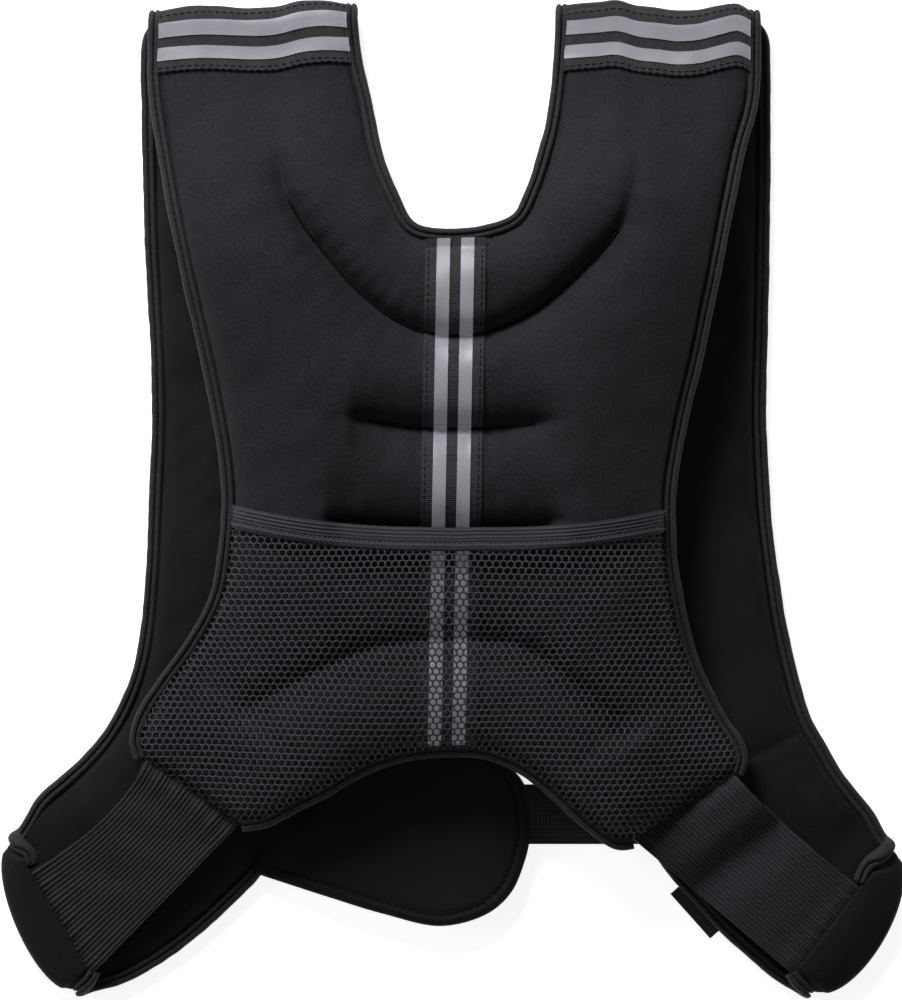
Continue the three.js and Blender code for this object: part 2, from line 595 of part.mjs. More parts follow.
// Edge binding: an oval rope beside an edge's stations
function binding(name, stations, material) {
  const positions = [];
  const faces = [];
  stations.forEach(({ mid, out, normal }) => {
    for (let k = 0; k < BINDING_SIDES; k++) {
      const angle = 2 * Math.PI * (k + 0.5) / BINDING_SIDES;
      const side = CLEARANCE + BINDING_WIDTH / 2 * (1 + Math.cos(angle) / Math.cos(Math.PI / BINDING_SIDES));
      const point = mid.clone().addScaledVector(out, side);
      point.addScaledVector(normal, BINDING_HEIGHT / 2 * Math.sin(angle));
      positions.push(point.x, point.y, point.z);
    }
  });
  const at = (ring, k) => ring * BINDING_SIDES + k % BINDING_SIDES;
  for (let ring = 0; ring + 1 < stations.length; ring++) {
    for (let k = 0; k < BINDING_SIDES; k++) {
      faces.push(at(ring, k), at(ring, k + 1), at(ring + 1, k + 1));
      faces.push(at(ring, k), at(ring + 1, k + 1), at(ring + 1, k));
    }
  }
  const last = stations.length - 1;
  for (let k = 1; k + 1 < BINDING_SIDES; k++) {
    faces.push(at(0, 0), at(0, k + 1), at(0, k));
    faces.push(at(last, 0), at(last, k), at(last, k + 1));
  }
  return closedMesh(name, positions, faces, material);
}

// Stations of a half panel's edge, over the fold and then along the edge points
function panelStations(grid, column, edges, side) {
  const over = new THREE.Vector3(side, 0, 0);
  const onFold = grid.slice(0, FIRST_FLAT).map(row => ({ ...row.at(column), out: over }));
  return [...onFold, ...edges.map((edge, j) => ({ ...grid[FIRST_FLAT + j].at(column), out: edge.out }))];
}

// Front pieces

// The outline points of a front piece's line, drawn in from the edge by the binding
function frontLines(rows, side) {
  const ends = key => {
    const points = rows.map(row => place(row[key]));
    return points.map((point, i) => {
      const before = points[Math.max(i - 1, 0)];
      const after = points[Math.min(i + 1, points.length - 1)];
      const along = after.clone().sub(before).normalize();
      const hand = key === 'outer' ? side : -side;
      const out = new THREE.Vector3(-along.y * hand, along.x * hand, 0);
      return { point: point.addScaledVector(out, -(BINDING_WIDTH + CLEARANCE)), out };
    });
  };
  const [outer, inner] = [ends('outer'), ends('inner')];
  return rows.map(({ bow, fill: full }, i) => ({ outer: outer[i].point, inner: inner[i].point, bow, full }));
}

// A line across a front piece, bowed away from the vest, as a row of the piece's grid. A flat row lies
// on the surface with its underside.
function frontRow(line, { level, normal, away, thickness, flat }) {
  const length = line.outer.distanceTo(line.inner);
  return range(FRONT_COLUMNS).map(share => {
    const bow = Math.sqrt(4 * share * (1 - share)) * line.bow * VEST_LENGTH;
    const mid = line.outer.clone().lerp(line.inner, share).addScaledVector(away, bow);
    mid.z = level;
    const distance = length * Math.min(share, 1 - share);
    const padding = crown(distance / FRONT_CROWN_REACH);
    const half = EDGE_THICKNESS / 2;
    if (flat) {
      const down = share > 0 && share < 1 ? FRONT_LEVEL : half;
      return { mid, normal, up: half + (thickness - FRONT_LEVEL - half) * padding, down };
    }
    const swell = (thickness - EDGE_THICKNESS) / 2 * padding;
    return { mid, normal, up: half + swell, down: half + swell };
  });
}

// The way away from the vest, in plan and square to a line from its outer to its inner end
function awayFrom(line, side) {
  const chord = line.inner.clone().sub(line.outer).setZ(0).normalize();
  return new THREE.Vector3(chord.y * -side, chord.x * side, 0);
}

// The end of a front piece, turned up and over itself round a line
function curlRows(curl, end, side) {
  const line = { outer: place(curl.outer), inner: place(curl.inner), bow: curl.bow };
  const chord = line.inner.clone().sub(line.outer).normalize();
  line.outer.addScaledVector(chord, BINDING_WIDTH + CLEARANCE);
  line.inner.addScaledVector(chord, -(BINDING_WIDTH + CLEARANCE));
  const away = awayFrom(line, side);
  const last = { outer: place(end.outer), inner: place(end.inner), bow: end.bow };
  const shape = { away, thickness: CURL_THICKNESS, flat: false };
  const rows = CURL_STEPS.map(degrees => {
    const angle = THREE.MathUtils.degToRad(degrees);
    const back = CURL_THICKNESS / 2 + CURL_TURN * (1 - Math.sin(angle));
    const over = Math.max(0, -Math.cos(angle)) / 2;
    const turned = {
      outer: line.outer.clone().addScaledVector(away, -back),
      inner: line.inner.clone().addScaledVector(away, -back),
      bow: mix(line.bow, end.bow, over),
    };
    turned.outer.lerp(last.outer, over);
    turned.inner.lerp(last.inner, over);
    const normal = away.clone().multiplyScalar(-Math.sin(angle)).addScaledVector(UP, Math.cos(angle));
    return frontRow(turned, { ...shape, level: FRONT_LEVEL + CURL_TURN * (1 - Math.cos(angle)), normal });
  });
  const down = UP.clone().multiplyScalar(-1);
  return [...rows, frontRow(last, { ...shape, level: FRONT_LEVEL + 2 * CURL_TURN, normal: down })];
}

// A front piece's whole grid, from the shoulder fold to the turned end
function frontGrid(rows, curl, end, half) {
  const strap = half.side < 0 ? leftGrid : rightGrid;
  const flatTop = half.side < 0 ? strap[FIRST_FLAT] : [...strap[FIRST_FLAT]].reverse();
  const [outer, inner] = [flatTop[0].mid, flatTop.at(-1).mid];
  const fold = FOLD_STEPS.slice().reverse().map(degrees => {
    const angle = THREE.MathUtils.degToRad(degrees);
    return range(FRONT_COLUMNS).map(share => {
      const x = mix(outer.x, inner.x, share);
      const axis = new THREE.Vector3(x, foldAxis(x), FOLD_LEVEL);
      const normal = new THREE.Vector3(0, -Math.sin(angle), Math.cos(angle));
      const distance = Math.abs(outer.x - inner.x) * Math.min(share, 1 - share);
      const swell = (SHOULDER_THICKNESS - EDGE_THICKNESS) / 2 * crown(distance / FRONT_CROWN_REACH);
      const thick = EDGE_THICKNESS / 2 + swell;
      const mid = axis.addScaledVector(normal, -FOLD_TURN);
      if (degrees === 90) mid.z -= CLEARANCE / 2;
      return { mid, normal, up: thick, down: thick };
    });
  });
  const lines = frontLines(rows, half.side);
  const shoulder = Math.max(SHOULDER_THICKNESS, FRONT_LEVEL + EDGE_THICKNESS / 2);
  const flat = lines.map(line => frontRow(line, {
    level: FRONT_LEVEL,
    normal: UP,
    away: awayFrom(line, half.side),
    thickness: mix(shoulder, FRONT_THICKNESS, line.full),
    flat: true,
  }));
  return [...fold, ...flat, ...curlRows(curl, end, half.side)];
}

// Stations along one side of a front piece: level across on the fold, then square to the edge
function frontStations(grid, key) {
  const [column, opposite] = key === 'outer' ? [0, grid[0].length - 1] : [grid[0].length - 1, 0];
  const across = Math.sign(grid[0][column].mid.x - grid[0][opposite].mid.x);
  let out = new THREE.Vector3(across, 0, 0);
  return grid.map((row, i) => {
    const { mid, normal } = row[column];
    if (i >= FOLD_STEPS.length) {
      const after = grid[Math.min(i + 1, grid.length - 1)][column].mid;
      const along = after.clone().sub(grid[i - 1][column].mid);
      const square = along.cross(normal).normalize();
      out = square.multiplyScalar(Math.sign(square.dot(out)));
    }
    return { mid, normal, out };
  });
}

const leftFront = frontGrid(LEFT_FRONT, LEFT_CURL, LEFT_END, leftHalf);
const rightFront = frontGrid(RIGHT_FRONT, RIGHT_CURL, RIGHT_END, rightHalf);

// Side elastic between a wing's end and a front piece's turned end
function elasticGrid(half, front, arch) {
  const wing = half.wing;
  const seam = front.at(-1);
  const grid = half.side < 0 ? leftGrid : rightGrid;
  const endLevel = grid.at(-1)[half.side < 0 ? 0 : grid[0].length - 1].mid.z;
  const [nearTip, nearCorner] = [wing[0], wing.at(-1)];
  const towards = seam[0].mid.clone().add(seam.at(-1).mid).sub(nearTip).sub(nearCorner).setZ(0).normalize();
  return arch.map((share, k) => {
    const way = k / (arch.length - 1);
    return range(WING_COLUMNS).map(over => {
      const from = nearTip.clone().lerp(nearCorner, over).addScaledVector(towards, CLEARANCE * 2);
      const held = mix(BAND_INSET, 1, over);
      const to = seam[0].mid.clone().lerp(seam.at(-1).mid, held).addScaledVector(towards, -CLEARANCE * 2);
      const mid = from.lerp(to, way);
      mid.z = mix(endLevel, FRONT_LEVEL + 2 * CURL_TURN, way) + share * ELASTIC_ARCH;
      return { mid, normal: UP, up: ELASTIC_THICKNESS / 2, down: ELASTIC_THICKNESS / 2 };
    });
  });
}

// A strip of webbing that lies flat, between two lines from its upper to its lower edge
function webbingGrid(start, end, level) {
  return [start, end].map(line => line.map(point => ({
    mid: new THREE.Vector3(point.x, point.y, level),
    normal: UP,
    up: WEBBING_THICKNESS / 2,
    down: WEBBING_THICKNESS / 2,
  })));
}

// Where the inner edge of a front piece's binding crosses a height, moved clear of it
function innerReach(rows, y, side) {
  const points = rows.map(row => place(row.inner));
  const k = points.findIndex((point, i) => i > 0 && point.y <= y);
  const share = (y - points[k - 1].y) / (points[k].y - points[k - 1].y);
  return mix(points[k - 1].x, points[k].x, share) - side * STRAP_SPACE;
}

// Materials

const cloth = (color, roughness) => new THREE.MeshStandardMaterial({ color, roughness, metalness: 0 });
const neoprene = () => cloth(0x2e2e31, 0.85);
const lining = () => cloth(0x1d1e20, 0.9);
const bindingCloth = () => cloth(0x2c2d2e, 0.8);
const grosgrain = () => cloth(0x3e3c40, 0.75);
const reflective = () => cloth(0xa5a3ac, 0.45);
const net = () => cloth(0x37353a, 0.7);
const elastic = () => cloth(0x282629, 0.85);
const webbing = () => cloth(0x262628, 0.8);
const plastic = () => cloth(0x1a1a1b, 0.5);

// Assembly

const vest = new THREE.Group();

// Back panel: two half panels and the strip between them
const panelPositions = [];
const panelFaces = [];
const lastRow = leftGrid.length - 1;
addGrid(panelPositions, panelFaces, leftGrid, [
  ['top', 0, PANEL_COLUMNS], ['bottom', 0, PANEL_COLUMNS], ['left', 0, lastRow], ['right', 0, SPINE_START],
]);
addGrid(panelPositions, panelFaces, rightGrid, [
  ['top', 0, PANEL_COLUMNS], ['bottom', 0, PANEL_COLUMNS], ['right', 0, lastRow], ['left', 0, SPINE_START],
]);
addGrid(panelPositions, panelFaces, spineGrid, [['top', 0, 2], ['bottom', 0, 2]]);
vest.add(closedMesh('back_panel', panelPositions, panelFaces, neoprene()));

// Bindings of the back panel
const leftNeck = panelStations(leftGrid, -1, leftHalf.neckEdge, RIGHT_SIDE);
const rightNeck = panelStations(rightGrid, 0, rightHalf.neckEdge, LEFT_SIDE);
const neckStations = [...leftNeck, { ...spineGrid[0][1], out: neckMiddle.out }, ...rightNeck.reverse()];
vest.add(
  binding('binding_arm_left', panelStations(leftGrid, 0, leftHalf.armEdge, LEFT_SIDE), bindingCloth()),
  binding('binding_arm_right', panelStations(rightGrid, -1, rightHalf.armEdge, RIGHT_SIDE), bindingCloth()),
  binding('binding_neck', neckStations, bindingCloth()),
);
const lowerStations = (grid, half) => half.lowerEdge.map((edge, i) => {
  const column = half.side < 0 ? WING_COLUMNS + i : PANEL_COLUMNS - WING_COLUMNS - i;
  return { ...grid.at(-1)[column], out: edge.out };
});
vest.add(binding('binding_lower', [
  ...lowerStations(leftGrid, leftHalf),
  { ...spineGrid.at(-1)[1], out: lowerMiddle.out },
  ...lowerStations(rightGrid, rightHalf).reverse(),
], bindingCloth()));

// Front pieces and their bindings
vest.add(slab('front_panel_left', leftFront, lining()), slab('front_panel_right', rightFront, lining()));
[['left', leftFront], ['right', rightFront]].forEach(([side, grid]) => {
  ['outer', 'inner'].forEach(key => {
    vest.add(binding(`binding_front_${side}_${key}`, frontStations(grid, key), bindingCloth()));
  });
});

// Shoulder tapes with two stripes each
const STRIPE_STARTS = [
  (TAPE_WIDTH - STRIPE_GAP) / 2 - STRIPE_WIDTH,
  (TAPE_WIDTH + STRIPE_GAP) / 2,
];
const onTape = distance => {
  const wrapped = FOLD_REACH * TAPE_WRAP;
  if (distance < wrapped) return 1 + 2 * distance / wrapped;
  return FIRST_FLAT + (distance - wrapped) / TAPE_FLAT;
};
[['left', leftGrid], ['right', rightGrid]].forEach(([side, grid]) => {
  const columns = [TAPE_INSET, PANEL_COLUMNS - TAPE_INSET];
  vest.add(slab(`shoulder_tape_${side}`, cover(grid, {
    rows: [onTape(0), onTape(TAPE_WIDTH)], columns, thickness: TAPE_THICKNESS, lift: () => CLEARANCE,
  }), grosgrain()));
  ['upper', 'lower'].forEach((name, k) => {
    vest.add(slab(`shoulder_stripe_${side}_${name}`, cover(grid, {
      rows: [onTape(STRIPE_STARTS[k]), onTape(STRIPE_STARTS[k] + STRIPE_WIDTH)],
      columns,
      thickness: STRIPE_THICKNESS,
      lift: () => TAPE_THICKNESS + 2 * CLEARANCE,
    }), reflective()));
  });
});

// Spine tape and its two stripes
const spineRows = [SPINE_INSET, spineGrid.length - 1 - SPINE_INSET];
vest.add(slab('spine_tape', cover(spineGrid, {
  rows: spineRows, columns: [0, 2], thickness: TAPE_THICKNESS, lift: () => CLEARANCE,
}), grosgrain()));
['left', 'right'].forEach((name, k) => {
  const columns = [STRIPE_STARTS[k], STRIPE_STARTS[k] + STRIPE_WIDTH].map(x => 2 * x / TAPE_WIDTH);
  vest.add(slab(`spine_stripe_${name}`, cover(spineGrid, {
    rows: spineRows, columns, thickness: STRIPE_THICKNESS, lift: () => TAPE_THICKNESS + 2 * CLEARANCE,
  }), reflective()));
});

// Pocket: a net over the lower back, held at its sides and bottom, and its hem
const OVER_TAPE = TAPE_THICKNESS + STRIPE_THICKNESS + 3 * CLEARANCE;
const hemRow = HEM_START - SPINE_START;
const pocketEnd = wholeGrid.length - 1;
const pocketLift = (row, column, swell) => {
  const across = Math.sin(Math.PI * column / (wholeGrid[0].length - 1));
  const down = 1 - smooth(...POCKET_FALL, (row - hemRow) / (pocketEnd - hemRow));
  const overTape = OVER_TAPE * smooth(...POCKET_RISE, across);
  return CLEARANCE + overTape + swell + POCKET_DEPTH * across * down;
};
const pocketColumns = [POCKET_INSET.sides, wholeGrid[0].length - 1 - POCKET_INSET.sides];
vest.add(slab('pocket_hem', cover(wholeGrid, {
  rows: [hemRow, hemRow + 1], columns: pocketColumns, thickness: HEM_THICKNESS, lift: pocketLift,
}), elastic()));
vest.add(slab('pocket_mesh', cover(wholeGrid, {
  rows: [hemRow + 1 + POCKET_INSET.top, pocketEnd - POCKET_INSET.bottom],
  columns: pocketColumns,
  thickness: MESH_THICKNESS,
  lift: pocketLift,
}), net()));

// Side elastic
vest.add(
  slab('elastic_band_left', elasticGrid(leftHalf, leftFront, LEFT_BAND_ARCH), elastic()),
  slab('elastic_band_right', elasticGrid(rightHalf, rightFront, RIGHT_BAND_ARCH), elastic()),
);

// Flap over the buckle
const FLAP_LEVEL = BUCKLE_THICKNESS + CLEARANCE * 2 + FLAP_THICKNESS / 2;
const FLAP_SEAM_LEVEL = WEBBING_THICKNESS + CLEARANCE * 3 + FLAP_THICKNESS / 2;
vest.add(slab('closure_flap', FLAP.map(line => range(FLAP_COLUMNS).map(share => {
  const mid = place(line.upper).lerp(place(line.lower), share);
  mid.z = mix(FLAP_SEAM_LEVEL, FLAP_LEVEL, line.level);
  return { mid, normal: UP, up: FLAP_THICKNESS / 2, down: FLAP_THICKNESS / 2 };
})), neoprene()));

// Belt: the buckle, the strap to the right front piece and the short one to the left
const beltY = alongOf(BELT_DOWN);
const buckleX = acrossOf(BUCKLE_ACROSS);
const beltLines = spread(beltY + WEBBING_WIDTH / 2, beltY - WEBBING_WIDTH / 2, 4);
const beltLevel = CLEARANCE + WEBBING_THICKNESS / 2;
const buckleReach = BUCKLE_LENGTH / 2 + CLEARANCE;
const buckleLine = side => beltLines.map(y => new THREE.Vector2(buckleX + side * buckleReach, y));
const frontLine = (rows, side) => beltLines.map(y => new THREE.Vector2(innerReach(rows, y, side), y));
const rightStrap = webbingGrid(buckleLine(RIGHT_SIDE), frontLine(RIGHT_FRONT, RIGHT_SIDE), beltLevel);
const leftStrap = webbingGrid(frontLine(LEFT_FRONT, LEFT_SIDE), buckleLine(LEFT_SIDE), beltLevel);
vest.add(slab('belt_webbing', rightStrap, webbing()), slab('belt_stub', leftStrap, webbing()));
const buckleOutline = new THREE.Shape();
const [bx, by] = [BUCKLE_LENGTH / 2 - BUCKLE_BEVEL, BUCKLE_WIDTH / 2 - BUCKLE_BEVEL];
const corners = [[bx, by, 0], [-bx, by, 90], [-bx, -by, 180], [bx, -by, 270]];
corners.forEach(([x, y, degrees]) => {
  const centre = [x - Math.sign(x) * BUCKLE_CORNER, y - Math.sign(y) * BUCKLE_CORNER];
  const from = THREE.MathUtils.degToRad(degrees);
  buckleOutline.absarc(centre[0], centre[1], BUCKLE_CORNER, from, from + Math.PI / 2, false);
});
buckleOutline.closePath();
const buckleGeometry = new THREE.ExtrudeGeometry(buckleOutline, {
  depth: BUCKLE_THICKNESS - 2 * BUCKLE_BEVEL,
  bevelEnabled: true,
  bevelThickness: BUCKLE_BEVEL,
  bevelSize: BUCKLE_BEVEL,
  bevelSegments: 1,
  curveSegments: 3,
});
buckleGeometry.translate(buckleX, beltY, BUCKLE_BEVEL);
buckleGeometry.deleteAttribute('normal');
buckleGeometry.deleteAttribute('uv');
const buckle = new THREE.Mesh(mergeVertices(buckleGeometry, MERGE_DISTANCE), plastic());
buckle.name = 'belt_buckle';
vest.add(buckle);

// Tab of webbing beside the right front piece's lower edge
const [tabStart, tabEnd] = TAB_ROWS.map(row => place(RIGHT_FRONT[row].inner));
const tabAlong = tabEnd.clone().sub(tabStart).normalize();
const tabOut = new THREE.Vector3(tabAlong.y, -tabAlong.x, 0);
const tabFrom = tabStart.clone().addScaledVector(tabAlong, TAB_FROM * WEBBING_WIDTH);
tabFrom.addScaledVector(tabOut, STRAP_SPACE);
const tabTo = tabFrom.clone().addScaledVector(tabAlong, WEBBING_WIDTH);
vest.add(slab('strap_tab', webbingGrid(
  [tabFrom, tabTo],
  [tabFrom.clone().addScaledVector(tabOut, TAB_LENGTH), tabTo.clone().addScaledVector(tabOut, TAB_LENGTH)],
  beltLevel,
), webbing()));

// The origin is the middle of the vest's underside
const box = new THREE.Box3().setFromObject(vest);
const centre = box.getCenter(new THREE.Vector3());
vest.position.set(-centre.x, -centre.y, -box.min.z);
vest.updateMatrixWorld(true);

export default vest;
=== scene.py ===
"""Weighted vest, lying on its front: soft goods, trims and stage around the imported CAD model.

Drawing lengths are in millimetres, with +Y to the shoulder folds and +Z up, and become metres
when a mesh is made.
"""

import math

import bpy
import numpy as np
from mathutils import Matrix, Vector
from mathutils.bvhtree import BVHTree
from mathutils.kdtree import KDTree


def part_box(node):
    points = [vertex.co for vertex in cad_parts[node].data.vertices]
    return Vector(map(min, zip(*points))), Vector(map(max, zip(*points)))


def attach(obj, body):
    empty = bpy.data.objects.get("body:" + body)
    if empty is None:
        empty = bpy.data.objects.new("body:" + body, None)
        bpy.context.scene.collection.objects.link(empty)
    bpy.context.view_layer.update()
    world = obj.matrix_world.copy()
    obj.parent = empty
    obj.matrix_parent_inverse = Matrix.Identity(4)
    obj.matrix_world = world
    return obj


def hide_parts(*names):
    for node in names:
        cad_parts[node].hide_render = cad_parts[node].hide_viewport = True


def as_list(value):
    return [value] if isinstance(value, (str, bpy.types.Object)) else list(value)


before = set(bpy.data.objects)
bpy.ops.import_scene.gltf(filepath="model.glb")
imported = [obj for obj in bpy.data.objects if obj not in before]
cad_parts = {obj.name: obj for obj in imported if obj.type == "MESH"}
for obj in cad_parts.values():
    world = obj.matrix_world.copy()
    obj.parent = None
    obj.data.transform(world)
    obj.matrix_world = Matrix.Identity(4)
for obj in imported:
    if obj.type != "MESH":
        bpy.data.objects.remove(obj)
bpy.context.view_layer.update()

bl_info = {
    "name": "Weighted vest",
    "version": (1, 0, 0),
    "blender": (4, 5, 0),
    "location": "View3D > Sidebar > Vest",
    "description": "Builds the padded weighted vest and its stage around the CAD frame",
    "category": "Object",
}

MM = 0.001
BODY = "root"
LEFT, RIGHT = -1, 1
UP = np.array([0.0, 0.0, 1.0])
DOWN = Vector((0, 0, -1))
ABOVE = 120.0
TURN = 2 * math.pi
RIPPLE_WAVES = 7

# Sizes that the CAD model has too, in millimetres
LENGTH = 425.0
HALF_WIDTH = 191.5
EDGE_THICKNESS = 4.8
PANEL_THICKNESS = 22.0
WING_THICKNESS = 13.0
FRONT_THICKNESS = 13.0
SHOULDER_THICKNESS = 6.6
CURL_THICKNESS = 6.0
PANEL_CROWN_REACH = 40.0
FRONT_CROWN_REACH = 30.0
TOP_SHARE = 0.66
LAYER_GAP = 11.0
WING_GAP = 2.4
FOLD_GAP = 3.0
CURL_GAP = 2.0
BINDING_WIDTH = 4.0
BINDING_HEIGHT = 6.6
CLEARANCE = 0.3
TAPE_WIDTH = 25.5
TAPE_THICKNESS = 0.8
STRIPE_WIDTH = 5.6
STRIPE_GAP = 4.6
HEM_WIDTH = 9.4
HEM_THICKNESS = 1.6
HEM_SAG = 2.4
POCKET_DEPTH = 4.5
ELASTIC_THICKNESS = 1.6
ELASTIC_ARCH = 2.0
FLAP_THICKNESS = 4.5
WEBBING_WIDTH = 25.5
WEBBING_THICKNESS = 1.6
BUCKLE_LENGTH = 46.0
BUCKLE_THICKNESS = 7.0
TAB_LENGTH = 5.0
TAPE_WRAP = math.radians(50)
EDGE_GROOVE = 1.9
EDGE_DIP = 1.2
PUFF = 1.3

FRONT_LEVEL = BINDING_HEIGHT / 2
FOLD_TURN = (SHOULDER_THICKNESS + FOLD_GAP) / 2
FOLD_LEVEL = FRONT_LEVEL + FOLD_TURN
FOLD_REACH = FOLD_TURN + SHOULDER_THICKNESS / 2
TAPE_FLAT = TAPE_WIDTH - FOLD_REACH * TAPE_WRAP
CURL_TURN = (CURL_THICKNESS + CURL_GAP) / 2
CURL_TOP = FRONT_LEVEL + 2 * CURL_TURN
EDGE_INSET = BINDING_WIDTH + CLEARANCE
EDGE_HALF = EDGE_THICKNESS / 2
TAPE_TOP = CLEARANCE + TAPE_THICKNESS


def belly(thickness):
    return EDGE_HALF + (thickness - EDGE_THICKNESS) * (1 - TOP_SHARE)


PANEL_LEVEL = FRONT_THICKNESS + LAYER_GAP + belly(PANEL_THICKNESS)
WING_LEVEL = FRONT_THICKNESS + WING_GAP + belly(WING_THICKNESS)

# Every table of places is in thousandths: of half the width, from the middle, and of the length,
# from the top. So are the depths, bows, levels and fullness beside them.
LEFT_ARM = (
    (-672, 10), (-674, 83), (-652, 150), (-616, 235), (-579, 311), (-539, 391), (-512, 462), (-506, 500),
    (-510, 529), (-530, 590), (-585, 639), (-645, 676), (-694, 710), (-714, 738), (-703, 760),
)
RIGHT_ARM = (
    (690, 10), (683, 101), (654, 149), (630, 198), (605, 254), (581, 306), (557, 358), (525, 418),
    (501, 478), (497, 504), (499, 553), (517, 604), (552, 662), (610, 715), (648, 741), (659, 758),
    (648, 776),
)
NECK = (
    (-211, 8), (-195, 65), (-177, 96), (-149, 158), (-109, 201), (-80, 223.5), (-35, 229.5), (35, 229.5),
    (98, 223.5), (138, 214), (166, 189), (188, 160), (211, 119), (226, 66), (234, 8),
)
LOWER_EDGE = (
    (-461, 831), (-404, 826), (-324, 807), (-264, 794), (-226, 783), (-162, 769), (-91, 760), (2, 756),
    (71, 758), (137, 769), (205, 791), (268, 817), (326, 839), (370, 849), (405, 847),
)
FOLDS = {
    LEFT: ((-720, 12), (-672, 9), (-560, 5), (-427, 7.5), (-383, 6),
           (-338, 1), (-294, -1), (-250, 0), (-200, 2)),
    RIGHT: ((200, 3), (327, 0), (371, -1), (415, 5), (460, 8),
            (504, 11), (549, 10), (593, 5), (637, 1), (671, 8),
            (720, 12)),
}
SPINE = ((11, 230), (-10, 748))
HEM_ENDS = {LEFT: 0.504, 0: 0.527, RIGHT: 0.509}
NECK_ROW_DOWN = 0.25

# Quilting seams: across, down and how deep the seam pulls the padding in
QUILT_SEAMS = (
    ((-386, 115, 0), (-383, 150, 120), (-371, 186, 500), (-330, 224, 800),
     (-293, 246, 900), (-202, 293, 900), (-113, 323, 900), (-40, 335, 850),
     (64, 335, 850), (182, 313, 900), (302, 267, 900), (375, 227, 650),
     (397, 197, 250), (407, 165, 80), (411, 130, 0)),
    ((-275, 418, 0), (-228, 419, 120), (-196, 420, 600), (-135, 425, 900),
     (-62, 429, 900), (64, 429, 900), (126, 427, 900), (200, 423, 600),
     (235, 421, 120), (285, 419, 0)),
    ((-330, 517, 0), (-282, 519, 120), (-242, 521, 650), (-150, 526, 900),
     (0, 530, 900), (150, 527, 900), (220, 522, 650), (260, 520, 120),
     (308, 518, 0)),
    ((-480, 720, 0), (-446, 705, 800), (-319, 673, 900), (-173, 645, 900),
     (-24, 637, 900), (64, 637, 900), (153, 643, 900), (271, 680, 900),
     (379, 722, 800), (410, 740, 0)),
)
SEAM_ROLLS = (1, 1, 1, 1.6)
SEAM_FLAT = 0.8
SEWN_DEPTH = 0.6
CORD_RADIUS = 0.62
ROLL_POWER = 2.5  # how sharply the rolls of two seams part where they meet

# Front pieces: outer end, inner end, bow and fullness of each line from the shoulder to the hip
FRONT_ROWS = {
    LEFT: (
        (-686, 32, -214, 28, 0, 0), (-692, 70, -218, 70, 0, 200),
        (-690, 120, -222, 120, 0, 600), (-687, 180, -228, 180, 0, 900),
        (-683, 246, -235, 246, 0, 1000), (-673, 330, -246, 330, 0, 1000),
        (-667, 413, -257, 413, 0, 1000), (-674, 500, -268, 500, 0, 1000),
        (-683, 584, -277, 590, 0, 1000), (-701, 654, -284, 680, 0, 1000),
        (-734, 700, -297, 745, 0, 1000), (-774, 732, -330, 800, 0, 1000),
        (-812, 753, -371, 838, 0, 950), (-846, 768, -416, 873, 0, 850),
        (-876, 780, -500, 912, 3, 700), (-903, 790, -580, 944, 6, 500),
        (-925, 800, -655, 968, 11, 300), (-942, 812, -725, 985, 16, 100),
    ),
    RIGHT: (
        (706, 32, 232, 28, 0, 0), (712, 70, 233, 70, 0, 200),
        (713, 120, 235, 120, 0, 600), (713, 180, 240, 180, 0, 900),
        (711, 246, 248, 246, 0, 1000), (707, 336, 259, 330, 0, 1000),
        (703, 411, 270, 411, 0, 1000), (710, 485, 282, 490, 0, 1000),
        (721, 541, 295, 565, 0, 1000), (743, 610, 311, 640, 0, 1000),
        (767, 662, 332, 710, 0, 1000), (801, 716, 368, 775, 0, 1000),
        (842, 750, 420, 830, 0, 900), (872, 773, 478, 872, 0, 750),
        (900, 790, 540, 905, 4, 500), (924, 803, 605, 936, 9, 250),
        (945, 815, 668, 962, 15, 100), (960, 828, 722, 982, 22, 0),
    ),
}
CURLS = {
    LEFT: (-994, 836, -836, 1001, 26),
    RIGHT: (1000, 844, 800, 1003, 34),
}
ENDS = {LEFT: (-940, 866, -803, 972), RIGHT: (914, 884, 764, 972)}
FOLD_STEPS = (90, 65, 35, 0)
CURL_STEPS = (0, 30, 60, 90, 120, 150, 180)
BAND_ARCH = {
    LEFT: (0, 0.7, 1.1, 1.2, 1.1, 0.8, 0.5, 0.2, 0),
    RIGHT: (0, 2.1, 2.3, -0.5, 0.2, 0.9, 0.8, 0.4, 0),
}
BAND_INSET = 0.04
BAND_REACH = 1.03
BAND_WAIST = {LEFT: 0.11, RIGHT: 0.03}
RIB_FINENESS = {LEFT: 1.0, RIGHT: 0.66}
TAPE_TILT = {LEFT: (1.0, 0.4, -0.9), RIGHT: (0.2, 0.6, 2.4)}

# Flap: upper end, lower end and level of each line from its seam to its tip
FLAP = (
    (-350, 756, -446, 873.5, 0), (-185, 745, -273, 898, 950), (-69, 742, -149, 915, 1000),
    (31, 745, -20, 927, 1000), (91, 752, 80, 915, 900), (131, 767, 135, 893, 700),
    (164, 786, 166, 860, 500), (175, 808, 178, 836, 400),
)
FLAP_CREASE = ((-150, 740), (-200, 790), (-280, 850))
FLAP_ROLL = ((-230, 760), (-280, 800), (-350, 860))
FLAP_SEAM = 5.0

# Soft folds in the net: their places, height and width
POCKET_FOLDS = (
    (((430, 548), (330, 600), (240, 668)), 1.5, 7.0),
    (((300, 556), (220, 600), (150, 640)), 0.9, 5.0),
    (((-420, 545), (-300, 585), (-200, 600)), 0.9, 8.0),
    (((-480, 600), (-420, 660), (-370, 700)), 0.8, 8.0),
    (((500, 620), (470, 690), (430, 740)), 0.9, 7.0),
)
